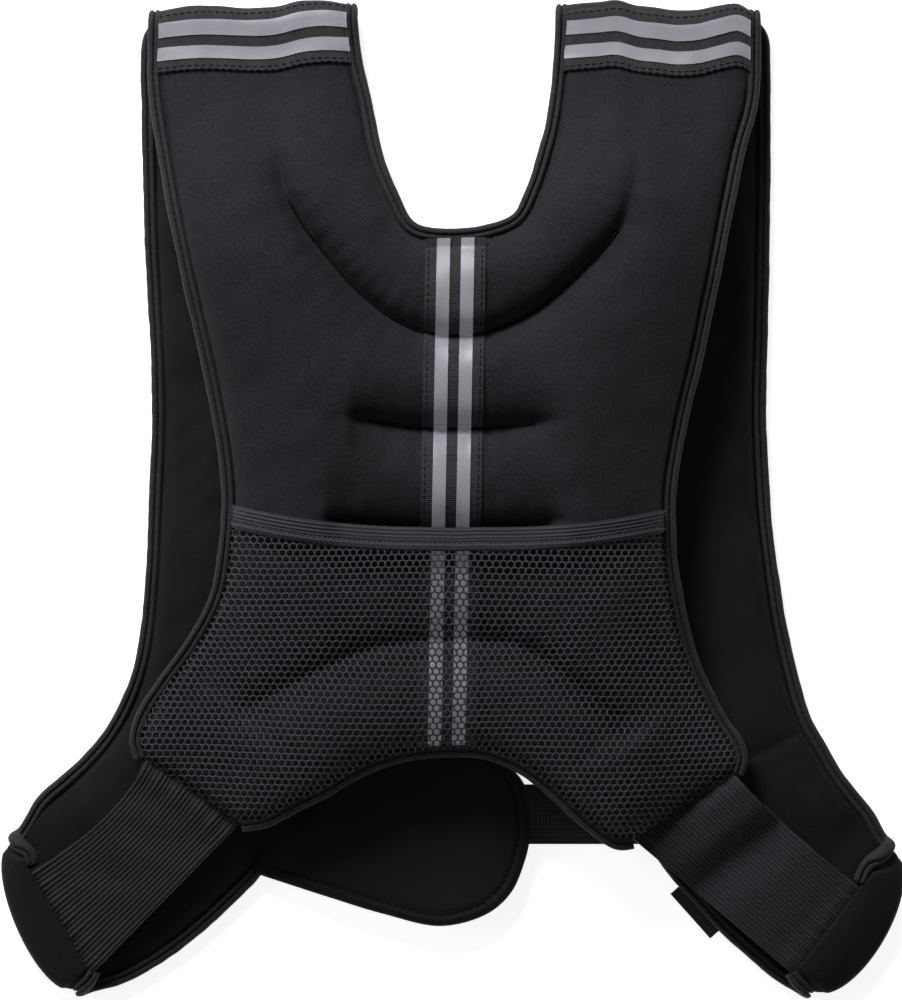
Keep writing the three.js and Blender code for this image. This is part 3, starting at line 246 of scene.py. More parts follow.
# Soft folds and rolls in the front pieces
FRONT_FOLDS = {
    LEFT: (
        (((-640, 200), (-640, 450), (-655, 600), (-720, 700), (-790, 760)), 1.2, 7.0),
        (((-880, 790), (-800, 850), (-700, 900)), -0.8, 6.0),
        (((-460, 860), (-560, 905), (-680, 950)), 1.0, 6.0),
    ),
    RIGHT: (
        (((670, 300), (680, 480), (720, 620), (780, 720), (860, 810)), 1.8, 8.0),
        (((645, 758), (700, 752), (765, 735)), -1.1, 2.6),
        (((520, 548), (496, 545)), -2.6, 3.0),
        (((560, 640), (640, 660), (700, 640)), -0.6, 9.0),
        (((700, 800), (760, 840), (830, 870)), -0.9, 8.0),
    ),
}
BELT_DOWN = 0.816
BUCKLE_ACROSS = -0.060
TAB_ROW = 13
TAB_FROM = 0.36
TAB_TUCK = 1.2
CORD_STEP = 0.42
STRAP_SPACE = 1.2

# Mesh counts
TAPE_ROWS = 14
UPPER_ROWS = 58
BACK_ROWS = 92
HEM_ROWS = 8
POCKET_ROWS = 84
PANEL_COLUMNS = 84
WING_COLUMNS = 28
STRIP_COLUMNS = 20
FRONT_COLUMNS = 72


# Drawing helpers

def spread(start, end, count):
    return np.linspace(start, end, count + 1)


def closer(shares):
    """Shares from 0 to 1 drawn towards both ends."""
    return shares - 0.09 * np.sin(TURN * shares)


def smooth(low, high, value):
    t = np.clip((np.asarray(value, float) - low) / (high - low), 0, 1)
    return t * t * (3 - 2 * t)


def mix(a, b, share):
    return a + (b - a) * share


def parts(thousandths):
    return np.asarray(thousandths, float) / 1000


def place(rows):
    """Places on the drawing of rows of across and down."""
    rows = parts(rows)
    return np.column_stack([rows[:, 0] * HALF_WIDTH, (0.5 - rows[:, 1]) * LENGTH])


def height_of(down):
    return (0.5 - down) * LENGTH


def unit(vectors):
    return vectors / np.maximum(np.linalg.norm(vectors, axis=-1, keepdims=True), 1e-9)


def bell(distance, width):
    return np.exp(-((distance / width) ** 2))


def run_of(line):
    """How far along a line each of its points is."""
    return np.concatenate([[0], np.cumsum(np.linalg.norm(np.diff(line, axis=0), axis=1))])


def read(at, marks, rows):
    """Rows that are known at some marks, read at others."""
    return np.column_stack([np.interp(at, marks, column) for column in rows.T])


def sideways(along, hand=1):
    """Across a run of ways in plan, to its left, or to its right where the hand is -1."""
    return np.column_stack([-along[:, 1], along[:, 0]]) * hand


def quads_of(index):
    """The faces between the points of a grid, from their numbers."""
    corners = index[:-1, :-1], index[1:, :-1], index[1:, 1:], index[:-1, 1:]
    return np.stack(corners, -1).reshape(-1, 4)


def through(points, step):
    """A smooth run through a few points, or rows of points, with one every step or so."""
    p = np.asarray(points, float)
    p = np.concatenate([2 * p[:1] - p[1:2], p, 2 * p[-1:] - p[-2:-1]])
    flat = p.reshape(len(p), -1)
    count = max(1, flat.shape[1] // p.shape[-1])
    gaps = np.linalg.norm(np.diff(flat, axis=0), axis=1) / math.sqrt(count)
    roots = np.sqrt(np.maximum(gaps, 1e-6))
    made = []
    for i in range(1, len(p) - 2):
        a, b, c = roots[i - 1:i + 2]
        start = ((p[i] - p[i - 1]) / a - (p[i + 1] - p[i - 1]) / (a + b) + (p[i + 1] - p[i]) / b) * b
        end = ((p[i + 1] - p[i]) / b - (p[i + 2] - p[i]) / (b + c) + (p[i + 2] - p[i + 1]) / c) * b
        steps = max(1, math.ceil(gaps[i] / step))
        t = (np.arange(steps) / steps).reshape(-1, *[1] * (p.ndim - 1))
        made.append(
            (2 * t**3 - 3 * t**2 + 1) * p[i] + (t**3 - 2 * t**2 + t) * start
            + (3 * t**2 - 2 * t**3) * p[i + 1] + (t**3 - t**2) * end
        )
    return np.concatenate([*made, p[-2:-1]])


class Line:
    """A line of points that is read by shares of its length."""

    def __init__(self, points):
        self.points = np.asarray(points, float)
        steps = run_of(self.points)
        self.length = float(steps[-1])
        self.shares = steps / self.length

    def at(self, shares):
        return read(np.atleast_1d(shares), self.shares, self.points)

    def along(self, shares, reach=1.5):
        shares = np.atleast_1d(shares)
        step = reach / self.length
        return unit(self.at(np.clip(shares + step, 0, 1)) - self.at(np.clip(shares - step, 0, 1)))

    def share_where(self, axis, value, start=0.0, end=1.0):
        rising = self.at(end)[0, axis] > self.at(start)[0, axis]
        for _ in range(40):
            middle = (start + end) / 2
            if (self.at(middle)[0, axis] > value) == rising:
                end = middle
            else:
                start = middle
        return (start + end) / 2


def nearest(line, points):
    """Distance in plan from each point to a line, and how far along the line that is."""
    line = line[:, :2]
    run = run_of(line)
    tree = KDTree(len(line))
    for i, (x, y) in enumerate(line.tolist()):
        tree.insert((x, y, 0), i)
    tree.balance()
    k = np.array([tree.find((x, y, 0))[1] for x, y in points[:, :2].tolist()])
    best = np.full(len(points), np.inf)
    where = np.zeros(len(points))
    for first in (np.maximum(k - 1, 0), np.minimum(k, len(line) - 2)):
        a, d = line[first], line[first + 1] - line[first]
        share = np.clip(((points[:, :2] - a) * d).sum(1) / np.maximum((d * d).sum(1), 1e-12), 0, 1)
        gap = np.linalg.norm(points[:, :2] - a - d * share[:, None], axis=1)
        less = gap < best
        best = np.where(less, gap, best)
        where = np.where(less, mix(run[first], run[first + 1], share), where)
    return best, where


def crown(share):
    return np.sqrt(np.clip(1 - (1 - np.clip(share, 0, 1)) ** 2, 0, 1))


def ripple(points, scale, seed):
    """A smooth, uneven wave over the plan, from -1 to 1 or so, with bumps about scale across."""
    rng = np.random.default_rng(seed)
    flat = points.reshape(-1, points.shape[-1])
    total = np.zeros(len(flat))
    for _ in range(RIPPLE_WAVES):
        turn, phase = rng.uniform(0, TURN, 2)
        pace = TURN / (scale * rng.uniform(0.7, 1.5))
        total += np.sin(pace * (flat[:, 0] * math.cos(turn) + flat[:, 1] * math.sin(turn)) + phase)
    return (total / math.sqrt(RIPPLE_WAVES * 2)).reshape(points.shape[:-1])


# Landmarks

ARMS = {LEFT: Line(through(place(LEFT_ARM), 1.0)), RIGHT: Line(through(place(RIGHT_ARM), 1.0))}
NECK_LINE = Line(through(place(NECK), 1.0))
LOWER_LINE = Line(through(place(LOWER_EDGE), 1.0))
FOLD_LINES = {side: through(place(rows), 2.0) for side, rows in FOLDS.items()}
SEAMS = [through(place([row[:2] for row in rows]), 3.0) for rows in QUILT_SEAMS]


def fold_axis(x):
    x = np.asarray(x, float)
    left = np.interp(x, FOLD_LINES[LEFT][:, 0], FOLD_LINES[LEFT][:, 1])
    right = np.interp(x, FOLD_LINES[RIGHT][:, 0], FOLD_LINES[RIGHT][:, 1])
    return np.where(x < 0, left, right) - FOLD_REACH


def spine_x(y):
    top, bottom = place(SPINE)
    return mix(top[0], bottom[0], (y - top[1]) / (bottom[1] - top[1]))


def drawn_in(line, shares, hand):
    """Points of an edge, drawn in from the outline by the binding, and the way outwards."""
    out = sideways(line.along(shares), hand)
    return line.at(shares) - out * EDGE_INSET, out


def seam_depths(line, rows):
    """How deep a quilting seam is at its points."""
    at = nearest(line, place([row[:2] for row in rows]))[1]
    return np.interp(run_of(line), at, parts([row[2] for row in rows]))


SEAM_DEPTHS = [seam_depths(line, rows) for line, rows in zip(SEAMS, QUILT_SEAMS)]


# Back panel grid

NECK_ROW = TAPE_ROWS + UPPER_ROWS
HEM_ROW = NECK_ROW + BACK_ROWS
POCKET_ROW = HEM_ROW + HEM_ROWS
LAST_ROW = POCKET_ROW + POCKET_ROWS


def coons(outer, inner, top, bottom):
    """Points inside four sides; outer and inner run down, top and bottom run across."""
    v = np.linspace(0, 1, len(outer))[:, None, None]
    u = closer(np.linspace(0, 1, len(top)))[None, :, None]
    made = outer[:, None] * (1 - u) + inner[:, None] * u + top[None] * (1 - v) + bottom[None] * v
    made -= outer[0] * (1 - u) * (1 - v) + inner[0] * u * (1 - v)
    return made - outer[-1] * (1 - u) * v - inner[-1] * u * v


def row_heights(top, tape, neck, hem, pocket, end):
    """Heights, or shares, at the rows of a half panel's side."""
    return np.concatenate([
        spread(top, tape, TAPE_ROWS)[:-1], spread(tape, neck, UPPER_ROWS)[:-1],
        spread(neck, hem, BACK_ROWS)[:-1], spread(hem, pocket, HEM_ROWS)[:-1],
        spread(pocket, end, POCKET_ROWS),
    ])


def lower_share(side):
    return LOWER_LINE.share_where(0, place(SPINE)[1, 0] + side * TAPE_WIDTH / 2)


def neck_corner(side):
    return NECK_LINE.share_where(0, place(SPINE)[0, 0] + side * TAPE_WIDTH / 2)


def half_panel(side):
    """The plan of a half panel: its grid, the outward ways along its sides and the wing's end."""
    arm = ARMS[side]
    top = float(fold_axis(arm.points[0, 0]))
    hem = height_of(HEM_ENDS[side])
    levels = [top, top - TAPE_FLAT, height_of(NECK_ROW_DOWN), hem, hem - HEM_WIDTH]
    marks = [arm.share_where(1, y, 0, 0.9) for y in levels]
    outer, arm_out = drawn_in(arm, row_heights(*marks, 1.0), side)

    end = 0.0 if side < 0 else 1.0
    middle = NECK_LINE.share_where(0, spine_x(height_of(NECK_ROW_DOWN)))
    top = float(fold_axis(NECK_LINE.at(end)[0, 0]))
    marks = [NECK_LINE.share_where(1, y, end, middle) for y in (top, top - TAPE_FLAT)]
    shares = np.concatenate([
        spread(marks[0], marks[1], TAPE_ROWS)[:-1], spread(marks[1], neck_corner(side), UPPER_ROWS),
    ])
    neck, neck_out = drawn_in(NECK_LINE, shares, 1)

    shares = spread(end, lower_share(side), PANEL_COLUMNS - WING_COLUMNS)
    lower, lower_out = drawn_in(LOWER_LINE, shares, -1)
    wing = spread(0, 1, WING_COLUMNS)[:, None]
    bottom = np.concatenate([mix(outer[-1], lower[0], wing), lower[1:]])

    hem = height_of(HEM_ENDS[0])
    heights = row_heights(0, 0, neck[-1, 1], hem, hem - HEM_WIDTH, lower[-1, 1])[NECK_ROW + 1:]
    spine = np.column_stack([spine_x(heights) + side * TAPE_WIDTH / 2, heights])
    spine[-1] = lower[-1]
    inner = np.concatenate([neck, spine])

    xs = mix(outer[0, 0], inner[0, 0], closer(spread(0, 1, PANEL_COLUMNS)))
    top_line = np.column_stack([xs, fold_axis(xs)])
    outer[0], inner[0] = top_line[0], top_line[-1]
    across = closer(spread(0, 1, PANEL_COLUMNS))[:, None]
    sag = [0, 1] * (4 * HEM_SAG * across * (1 - across))
    hem_line = mix(outer[HEM_ROW], inner[HEM_ROW], across) - sag
    pocket_line = mix(outer[POCKET_ROW], inner[POCKET_ROW], across) - sag
    way = spread(0, 1, HEM_ROWS)[1:-1, None, None]
    grid = np.concatenate([
        coons(outer[:HEM_ROW + 1], inner[:HEM_ROW + 1], top_line, hem_line),
        mix(hem_line[None], pocket_line[None], way),
        coons(outer[POCKET_ROW:], inner[POCKET_ROW:], pocket_line, bottom),
    ])
    return {"grid": grid, "arm_out": arm_out, "neck_out": neck_out,
            "lower_out": lower_out, "wing": bottom[:WING_COLUMNS + 1]}


HALVES = {side: half_panel(side) for side in (LEFT, RIGHT)}


GRIDS = {side: half["grid"] for side, half in HALVES.items()}
NECK_MIDDLE, NECK_OUT = drawn_in(
    NECK_LINE, spread(neck_corner(LEFT), neck_corner(RIGHT), STRIP_COLUMNS), 1)
LOWER_MIDDLE, LOWER_OUT = drawn_in(
    LOWER_LINE, spread(lower_share(LEFT), lower_share(RIGHT), STRIP_COLUMNS), -1)
# The plan of the strip under the spine tape, from the neck to the lower edge
STRIP = coons(GRIDS[LEFT][NECK_ROW:, -1], GRIDS[RIGHT][NECK_ROW:, -1], NECK_MIDDLE, LOWER_MIDDLE)

CLOSED_EDGES = [
    GRIDS[LEFT][::3, 0], GRIDS[RIGHT][::3, 0], GRIDS[LEFT][-1], GRIDS[RIGHT][-1], STRIP[-1],
    GRIDS[LEFT][:NECK_ROW + 1, -1], GRIDS[RIGHT][:NECK_ROW + 1, -1], STRIP[0],
]


def panel_surface(plan, quilted=True, detail=True):
    """Level, and heights above and below it, of the back panel at places in plan."""
    points = plan.reshape(-1, 2)
    x, y = points.T
    fall = (fold_axis(x) - y) / LENGTH
    wing = smooth(0.25, 0.62, np.abs(x) / HALF_WIDTH) * smooth(0.52, 0.72, 0.5 - y / LENGTH)
    level = mix(mix(FOLD_LEVEL + FOLD_TURN, PANEL_LEVEL, smooth(0, 0.26, fall)), WING_LEVEL, wing)
    full = mix(mix(SHOULDER_THICKNESS, PANEL_THICKNESS, smooth(0.02, 0.20, fall)), WING_THICKNESS, wing)
    found = [nearest(line, points) for line in CLOSED_EDGES]
    distance = np.min([gap for gap, _ in found], axis=0)
    padding = (full - EDGE_THICKNESS) * crown((distance - EDGE_GROOVE) / PANEL_CROWN_REACH)
    down = EDGE_HALF + padding * (1 - TOP_SHARE)
    dip = EDGE_DIP * (1 - smooth(1.5, 2.5, distance)) * smooth(20, 26, fold_axis(x) - y)
    pull = np.zeros(len(points))
    pucker = np.zeros(len(points))
    if quilted:
        for line, depths, wide in zip(SEAMS, SEAM_DEPTHS, SEAM_ROLLS):
            gap, where = nearest(line, points)
            depth = np.interp(where, run_of(line), depths)
            beside = np.maximum(gap - SEAM_FLAT, 0) / (sizes().quilt_roll / MM * wide)
            near = 0.32 * np.exp(-beside / 0.1) + 0.5 * np.exp(-beside / 0.34) + 0.18 * bell(beside, 1)
            pull += (np.minimum(depth * 1.12, 1) * near) ** ROLL_POWER
            wave = np.sin(where * TURN / 8.5 + 2.2 * np.sin(where / 13.0))
            pucker += 0.5 * depth * wave * np.exp(-gap / 8) * smooth(0, 3, gap)
        pull = np.minimum(pull ** (1 / ROLL_POWER), 1)
    up = EDGE_HALF + padding * TOP_SHARE * PUFF * (1 - pull) - dip
    if quilted and detail:
        uneven = 0.55 * ripple(points, 46, 3) + 0.2 * ripple(points, 17, 5)
        along = np.choose(np.argmin([gap for gap, _ in found], axis=0), [w for _, w in found])
        edge_wave = np.sin(along * TURN / 9 + 1.5 * np.sin(along / 17))
        up = up + pucker + crown(distance / 14) * uneven + 0.2 * np.exp(-distance / 5) * edge_wave
    return [part.reshape(plan.shape[:-1]) for part in (level, up, down)]


def panel_top(plan):
    """Height of the quilted back panel's upper face at places in plan."""
    level, up, _ = panel_surface(plan)
    return level + up


def sizes():
    return bpy.context.scene.vest_sizes


def lifted(plan, height):
    return np.concatenate([plan, np.broadcast_to(height, plan.shape[:-1])[..., None]], axis=-1)


STRAP_TURNS = np.radians([*range(90, 17, -8), 9])


def folded(plan_row, turn, offset):
    """A row on the shoulder fold, turned from the strap's top, at a distance from its mid line."""
    radius = FOLD_TURN + np.ravel(offset)
    x, y = plan_row.T
    level = FOLD_LEVEL + math.cos(turn) * radius
    return np.column_stack([x, y + math.sin(turn) * radius, np.broadcast_to(level, x.shape)])


def panel_skins(plan, fold=True):
    """Upper and lower skin of a part of the back panel, with the fold's rows on top."""
    level, up, down = panel_surface(plan)
    upper, lower = lifted(plan, level + up), lifted(plan, level - down)
    if not fold:
        return upper, lower
    over = np.stack([folded(plan[0], turn, up[0]) for turn in STRAP_TURNS])
    under = np.stack([folded(plan[0], turn, -down[0]) for turn in STRAP_TURNS])
    return np.concatenate([over, upper]), np.concatenate([under, lower])


# Mesh building

TURNED_OVER = [0, 3, 2, 1]
DRAWN_BUCKLE = np.array([BUCKLE_ACROSS * HALF_WIDTH, height_of(BELT_DOWN)])
BUCKLE_BOX = np.array([list(corner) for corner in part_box("belt_buckle")])
SHIFT = np.append(BUCKLE_BOX.mean(0)[:2] / MM - DRAWN_BUCKLE, 0.0)


class Build:
    """Points, faces and surface coordinates of one piece, gathered part by part."""

    def __init__(self):
        self.points, self.quads, self.tris, self.uvs, self.count = [], [], [], [], 0

    def add(self, points, quads=None, tris=None, uv=None):
        points = np.asarray(points, float).reshape(-1, 3)
        start = self.count
        self.points.append(points)
        self.uvs.append(np.zeros((len(points), 2)) if uv is None else np.asarray(uv, float).reshape(-1, 2))
        if quads is not None and len(quads):
            self.quads.append(np.asarray(quads) + start)
        if tris is not None and len(tris):
            self.tris.append(np.asarray(tris) + start)
        self.count += len(points)

    def slab(self, upper, lower, walls="tblr", uv=None):
        """Upper and lower skin of a grid, with walls on the top, bottom, left or right side."""
        index = np.arange(upper[..., 0].size).reshape(upper.shape[:2])
        under = index + index.size
        quads = [quads_of(index), quads_of(under)[:, TURNED_OVER]]
        sides = {"t": (index[0], under[0], 1), "b": (index[-1], under[-1], -1),
                 "l": (index[:, 0], under[:, 0], -1), "r": (index[:, -1], under[:, -1], 1)}
        for key in walls:
            top, bottom, hand = sides[key]
            quads.append(quads_of(np.stack([top, bottom], 1))[:, ::hand])
        both = None if uv is None else np.stack([uv, uv])
        self.add(np.stack([upper, lower]), np.concatenate(quads), uv=both)

    def tube(self, rings, uv=None):
        """Rings of points joined in order, with both ends closed."""
        count, sides = rings.shape[:2]
        index = np.arange(count * sides).reshape(count, sides)
        quads = quads_of(np.column_stack([index, index[:, 0]]))[:, TURNED_OVER]
        fan = np.arange(1, sides - 1)
        first = np.stack([np.zeros_like(fan), fan + 1, fan], -1)
        last = np.stack([np.zeros_like(fan), fan, fan + 1], -1) + (count - 1) * sides
        self.add(rings, quads, np.concatenate([first, last]), uv)

    def piece(self, name, material, slot, replaces=(), merge=0.0, sharp=None):
        """The finished object, riding on the vest's one body."""
        points = np.concatenate(self.points)
        quads = np.concatenate(self.quads) if self.quads else np.zeros((0, 4), int)
        tris = np.concatenate(self.tris) if self.tris else np.zeros((0, 3), int)
        uv = np.concatenate(self.uvs)
        if merge:
            keys = np.round(points / merge).astype(np.int64)
            _, first, back = np.unique(keys, axis=0, return_index=True, return_inverse=True)
            back = back.ravel()
            points, uv = points[first], uv[first]
            quads, tris = back[quads], back[tris]
            bad = np.any(quads == np.roll(quads, -1, axis=1), axis=1)
            for quad in quads[bad]:
                kept = list(dict.fromkeys(quad.tolist()))
                if len(kept) == 3:
                    tris = np.concatenate([tris, [kept]])
            quads = quads[~bad]
        corners = points[np.concatenate([quads[:, [0, 1, 2]], quads[:, [0, 2, 3]], tris])]
        volume = np.einsum("ij,ij->i", corners[:, 0], np.cross(corners[:, 1], corners[:, 2])).sum()
        if volume < 0:
            quads, tris = quads[:, ::-1], tris[:, ::-1]
        loops = np.concatenate([quads.ravel(), tris.ravel()]).astype(np.int32)
        totals = np.concatenate([np.full(len(quads), 4), np.full(len(tris), 3)]).astype(np.int32)
        mesh = bpy.data.meshes.new(name)
        mesh.vertices.add(len(points))
        mesh.vertices.foreach_set("co", ((points + SHIFT) * MM).astype(np.float32).ravel())
        mesh.loops.add(len(loops))
        mesh.loops.foreach_set("vertex_index", loops)
        mesh.polygons.add(len(totals))
        mesh.polygons.foreach_set("loop_start", (np.cumsum(totals) - totals).astype(np.int32))
        mesh.polygons.foreach_set("loop_total", totals)
        mesh.polygons.foreach_set("use_smooth", np.ones(len(totals), bool))
        mesh.uv_layers.new(name="UVMap").data.foreach_set("uv", (uv[loops] * MM).astype(np.float32).ravel())
        mesh.update(calc_edges=True)
        mesh.validate()
        if sharp is not None:
            mesh.set_sharp_from_angle(angle=math.radians(sharp))
        mesh.materials.append(material)
        made = bpy.data.objects.new(name, mesh)
        bpy.context.scene.collection.objects.link(made)
        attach(made, BODY)
        if replaces:
            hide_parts(*replaces)
        return made


# Threads

STITCH = []


def stitch_shape():
    """Points and faces of one stitch, a small oval grain modelled once at unit size."""
    if STITCH:
        return STITCH
    bpy.ops.object.select_all(action="DESELECT")
    bpy.ops.mesh.primitive_uv_sphere_add(segments=6, ring_count=4, radius=0.5)
    grain = bpy.context.active_object
    bpy.ops.object.mode_set(mode="EDIT")
    bpy.ops.mesh.select_all(action="SELECT")
    bpy.ops.transform.rotate(value=math.pi / 2, orient_axis="Y", center_override=(0, 0, 0))
    bpy.ops.object.mode_set(mode="OBJECT")
    mesh = grain.data
    points = np.array([list(v.co) for v in mesh.vertices])
    faces = [np.array([list(p.vertices) for p in mesh.polygons if len(p.vertices) == n]) for n in (4, 3)]
    bpy.data.objects.remove(grain)
    bpy.data.meshes.remove(mesh)
    STITCH.extend([points, *faces])
    return STITCH


def repeated(faces, count, size):
    """The faces of a shape of so many points, for each of its copies."""
    return (faces[None] + (np.arange(count) * size)[:, None, None]).reshape(-1, faces.shape[1])


def add_stitches(build, line, normals=UP, pitch=None, length=None, thickness=None, turn=0.0, lift=0.0):
    """Stitches along a line that lies on a surface with these normals."""
    pitch = pitch or sizes().stitch_pitch / MM
    length = length or sizes().stitch_length / MM
    thickness = thickness or sizes().thread_thickness / MM
    points, quads, tris = stitch_shape()
    run = Line(line)
    count = max(1, int(run.length / pitch))
    shares = (np.arange(count) + 0.5) / count
    here = run.at(shares)
    ahead = run.along(shares, length / 2)
    normal = unit(read(shares, run.shares, np.broadcast_to(normals, line.shape)))
    side = unit(np.cross(normal, ahead))
    ahead, side = (ahead * math.cos(turn) + side * math.sin(turn),
                   side * math.cos(turn) - ahead * math.sin(turn))
    x, y, z = (points * [length, thickness, thickness]).T[:, None, :, None]
    made = here[:, None] + ahead[:, None] * x + side[:, None] * y + normal[:, None] * (z + lift)
    build.add(made, repeated(quads, count, len(points)), repeated(tris, count, len(points)))


# Materials

WAVE_SCALE = math.pi / 10  # a wave texture of this scale has one band in a metre


class Finish:
    """A material's node tree, built one node at a time."""

    def __init__(self, name, roughness, specular, sheen=0.0, metallic=0.0):
        self.material = bpy.data.materials.new(name)
        self.material.use_nodes = True
        self.tree = self.material.node_tree
        self.shader = self.tree.nodes["Principled BSDF"]
        self.fix({"Roughness": roughness, "Specular IOR Level": specular, "Metallic": metallic,
                  "Sheen Weight": sheen, "Sheen Roughness": 0.45})
        self.coordinates = self.tree.nodes.new("ShaderNodeTexCoord")

    def fix(self, values):
        """Values that are the same all over, set on the shader's own sockets."""
        for name, value in values.items():
            self.shader.inputs[name].default_value = value

    def set(self, socket, value):
        if isinstance(value, bpy.types.NodeSocket):
            self.tree.links.new(value, socket)
        else:
            socket.default_value = value

    def node(self, kind, output, **inputs):
        """A new node with these inputs set, and one of its outputs."""
        node = self.tree.nodes.new(f"ShaderNode{kind}")
        for name, value in inputs.items():
            self.set(node.inputs[name], value)
        return node, node.outputs[output]

    def noise(self, scale, detail=3.0, rough=0.6, stretch=None):
        source = self.coordinates.outputs["Object"]
        if stretch is not None:
            source = self.node("Mapping", "Vector", Vector=source, Scale=stretch)[1]
        return self.node("TexNoise", "Fac", Vector=source, Scale=scale, Detail=detail, Roughness=rough)[1]

    def wave(self, period, across, distortion):
        node, bands = self.node("TexWave", "Fac", Vector=self.coordinates.outputs["UV"],
                                Scale=WAVE_SCALE / period, Distortion=distortion, Detail=1.0)
        node.bands_direction = across
        return bands

    def math(self, kind, a, b):
        node, result = self.node("Math", 0)
        node.operation = kind
        self.set(node.inputs[0], a)
        self.set(node.inputs[1], b)
        return result

    def faded(self, share, amount, base, colour):
        """The base with a share of a mask's strength of another colour over it."""
        return self.blend(self.math("MULTIPLY", share, amount), base, colour)

    def cloudy(self, value, colour, dark, light):
        """Slow changes of shade between a darker and a lighter colour."""
        return self.ramp(value, ((0.3, shade(colour, dark)), (0.7, shade(colour, light))))

    def ramp(self, value, stops):
        node, colour_out = self.node("ValToRGB", "Color", Fac=value)
        band = node.color_ramp
        while len(band.elements) < len(stops):
            band.elements.new(0.5)
        for element, (at, colour) in zip(band.elements, stops):
            element.position = at
            element.color = colour
        return colour_out

    def blend(self, share, a, b, kind="MIX"):
        node, _ = self.node("Mix", 0)
        node.data_type = "RGBA"
        node.blend_type = kind
        self.set(node.inputs[0], share)
        self.set(node.inputs[6], a)
        self.set(node.inputs[7], b)
        return node.outputs[2]

    def bump(self, height, distance, strength, under=None):
        below = {} if under is None else {"Normal": under}
        return self.node("Bump", "Normal", Height=height, Distance=distance, Strength=strength, **below)[1]

    def done(self, colour, normal=None, roughness=None):
        self.set(self.shader.inputs["Base Color"], colour)
        if normal is not None:
            self.set(self.shader.inputs["Normal"], normal)
        if roughness is not None:
            self.set(self.shader.inputs["Roughness"], roughness)
        return self.material


def shade(colour, share):
    """A darker or lighter colour, with its alpha."""
    return (*(min(1.0, c * share) for c in colour[:3]), 1)


MADE = {}


def finish(name):
    """The finish of that name, made once."""
    if name not in MADE:
        MADE[name] = FINISHES[name](bpy.context.scene.vest_colours)
    return MADE[name]


def knit_face(name, colour, sheen, roughness, grain):
    """Fine jersey on foam: a close knit grain, faint fuzz and slow shade changes."""
    f = Finish(name, roughness, 0.12, sheen)
    loops = f.noise(1500, 2.0, 0.5, (1, 0.6, 1))
    fuzz = f.noise(420, 4.0, 0.7)
    cloud = f.noise(22, 3.0, 0.55)
    base = f.cloudy(cloud, colour, 0.82, 1.18)
    speckle = f.ramp(loops, ((0.36, (0.5, 0.5, 0.5, 1)), (0.64, (1.5, 1.5, 1.5, 1))))
    base = f.blend(grain, base, f.blend(1.0, base, speckle, "MULTIPLY"))
    flecks = f.ramp(fuzz, ((0.62, (0, 0, 0, 1)), (0.8, (1, 1, 1, 1))))
    base = f.faded(flecks, 0.35, base, shade(colour, 2.0))
    low = f.bump(fuzz, 0.00025, 0.35)
    return f.done(base, f.bump(loops, 0.0003, 0.7, low),
                  f.math("ADD", f.math("MULTIPLY", cloud, 0.16), roughness - 0.08))


def ribbed_tape(name, colour, period):
    """Grosgrain: close ribs across the tape with fine warp threads; the grooves between ribs carry painted
    shade and the rib tops a painted highlight.
    """
    f = Finish(name, 0.72, 0.15, 0.05)
    ribs = f.wave(period, "X", 0.6)
    warp = f.wave(period * 0.45, "Y", 1.2)
    cloud = f.noise(60, 3.0)
    # Painted shade in the grooves between ribs and painted highlight on the rib tops, in step with the
    # ribs' bump.
    base = f.blend(ribs, shade(colour, 0.62), shade(colour, 1.22))
    base = f.faded(warp, 0.35, base, shade(colour, 0.7))
    base = f.faded(cloud, 0.3, base, shade(colour, 1.35))
    low = f.bump(warp, 0.00006, 0.5)
    return f.done(base, f.bump(ribs, 0.00012, 0.6, low))


def glowing_mirror_cloth(name, colour):
    """Reflective cloth: a grey coat of fine glass beads, worn a little dull in places, with a painted glow
    that keeps it bright in shade.
    """
    f = Finish(name, 0.5, 0.3, 0.0, 0.1)
    # Painted light: the emission makes the stripes glow, so they stay bright where the lamps do not reach
    # them.
    f.fix({"Emission Color": shade(colour, 1.0), "Emission Strength": 0.22})
    beads = f.noise(2600, 2.0, 0.5)
    worn = f.noise(35, 4.0, 0.65)
    rows = f.wave(0.0011, "X", 0.4)
    base = f.cloudy(worn, colour, 0.88, 1.06)
    base = f.faded(beads, 0.28, base, shade(colour, 0.62))
    base = f.faded(rows, 0.08, base, shade(colour, 0.5))
    return f.done(base, f.bump(beads, 0.00006, 0.5),
                  f.math("ADD", f.math("MULTIPLY", worn, 0.25), 0.32))


def yarn(name, colour, roughness=0.75, sheen=0.05, twist=900):
    """Spun or filament yarn: short slanting fibres and uneven shade."""
    f = Finish(name, roughness, 0.15, sheen)
    fibres = f.noise(twist, 3.0, 0.6, (1, 1, 0.4))
    cloud = f.noise(45, 3.0)
    base = f.cloudy(fibres, colour, 0.6, 1.3)
    base = f.faded(cloud, 0.25, base, shade(colour, 1.3))
    return f.done(base, f.bump(fibres, 0.00012, 0.5))


def rib_elastic(name, colour, period):
    """Ribbed elastic with fine cross threads; the channels between ribs carry painted shade and the rib
    tops a painted highlight.
    """
    f = Finish(name, 0.75, 0.14, 0.05)
    ribs = f.wave(period, "Y", 0.3)
    cross = f.wave(0.0009, "X", 1.0)
    cloud = f.noise(30, 3.0)
    # Painted shade in the rib channels and painted highlight on the rib tops, in step with the ribs' bump.
    base = f.blend(ribs, shade(colour, 0.45), shade(colour, 1.25))
    base = f.faded(cross, 0.3, base, shade(colour, 0.62))
    base = f.faded(cloud, 0.25, base, shade(colour, 1.4))
    low = f.bump(cross, 0.0001, 0.5)
    return f.done(base, f.bump(ribs, 0.0002, 0.4, low))


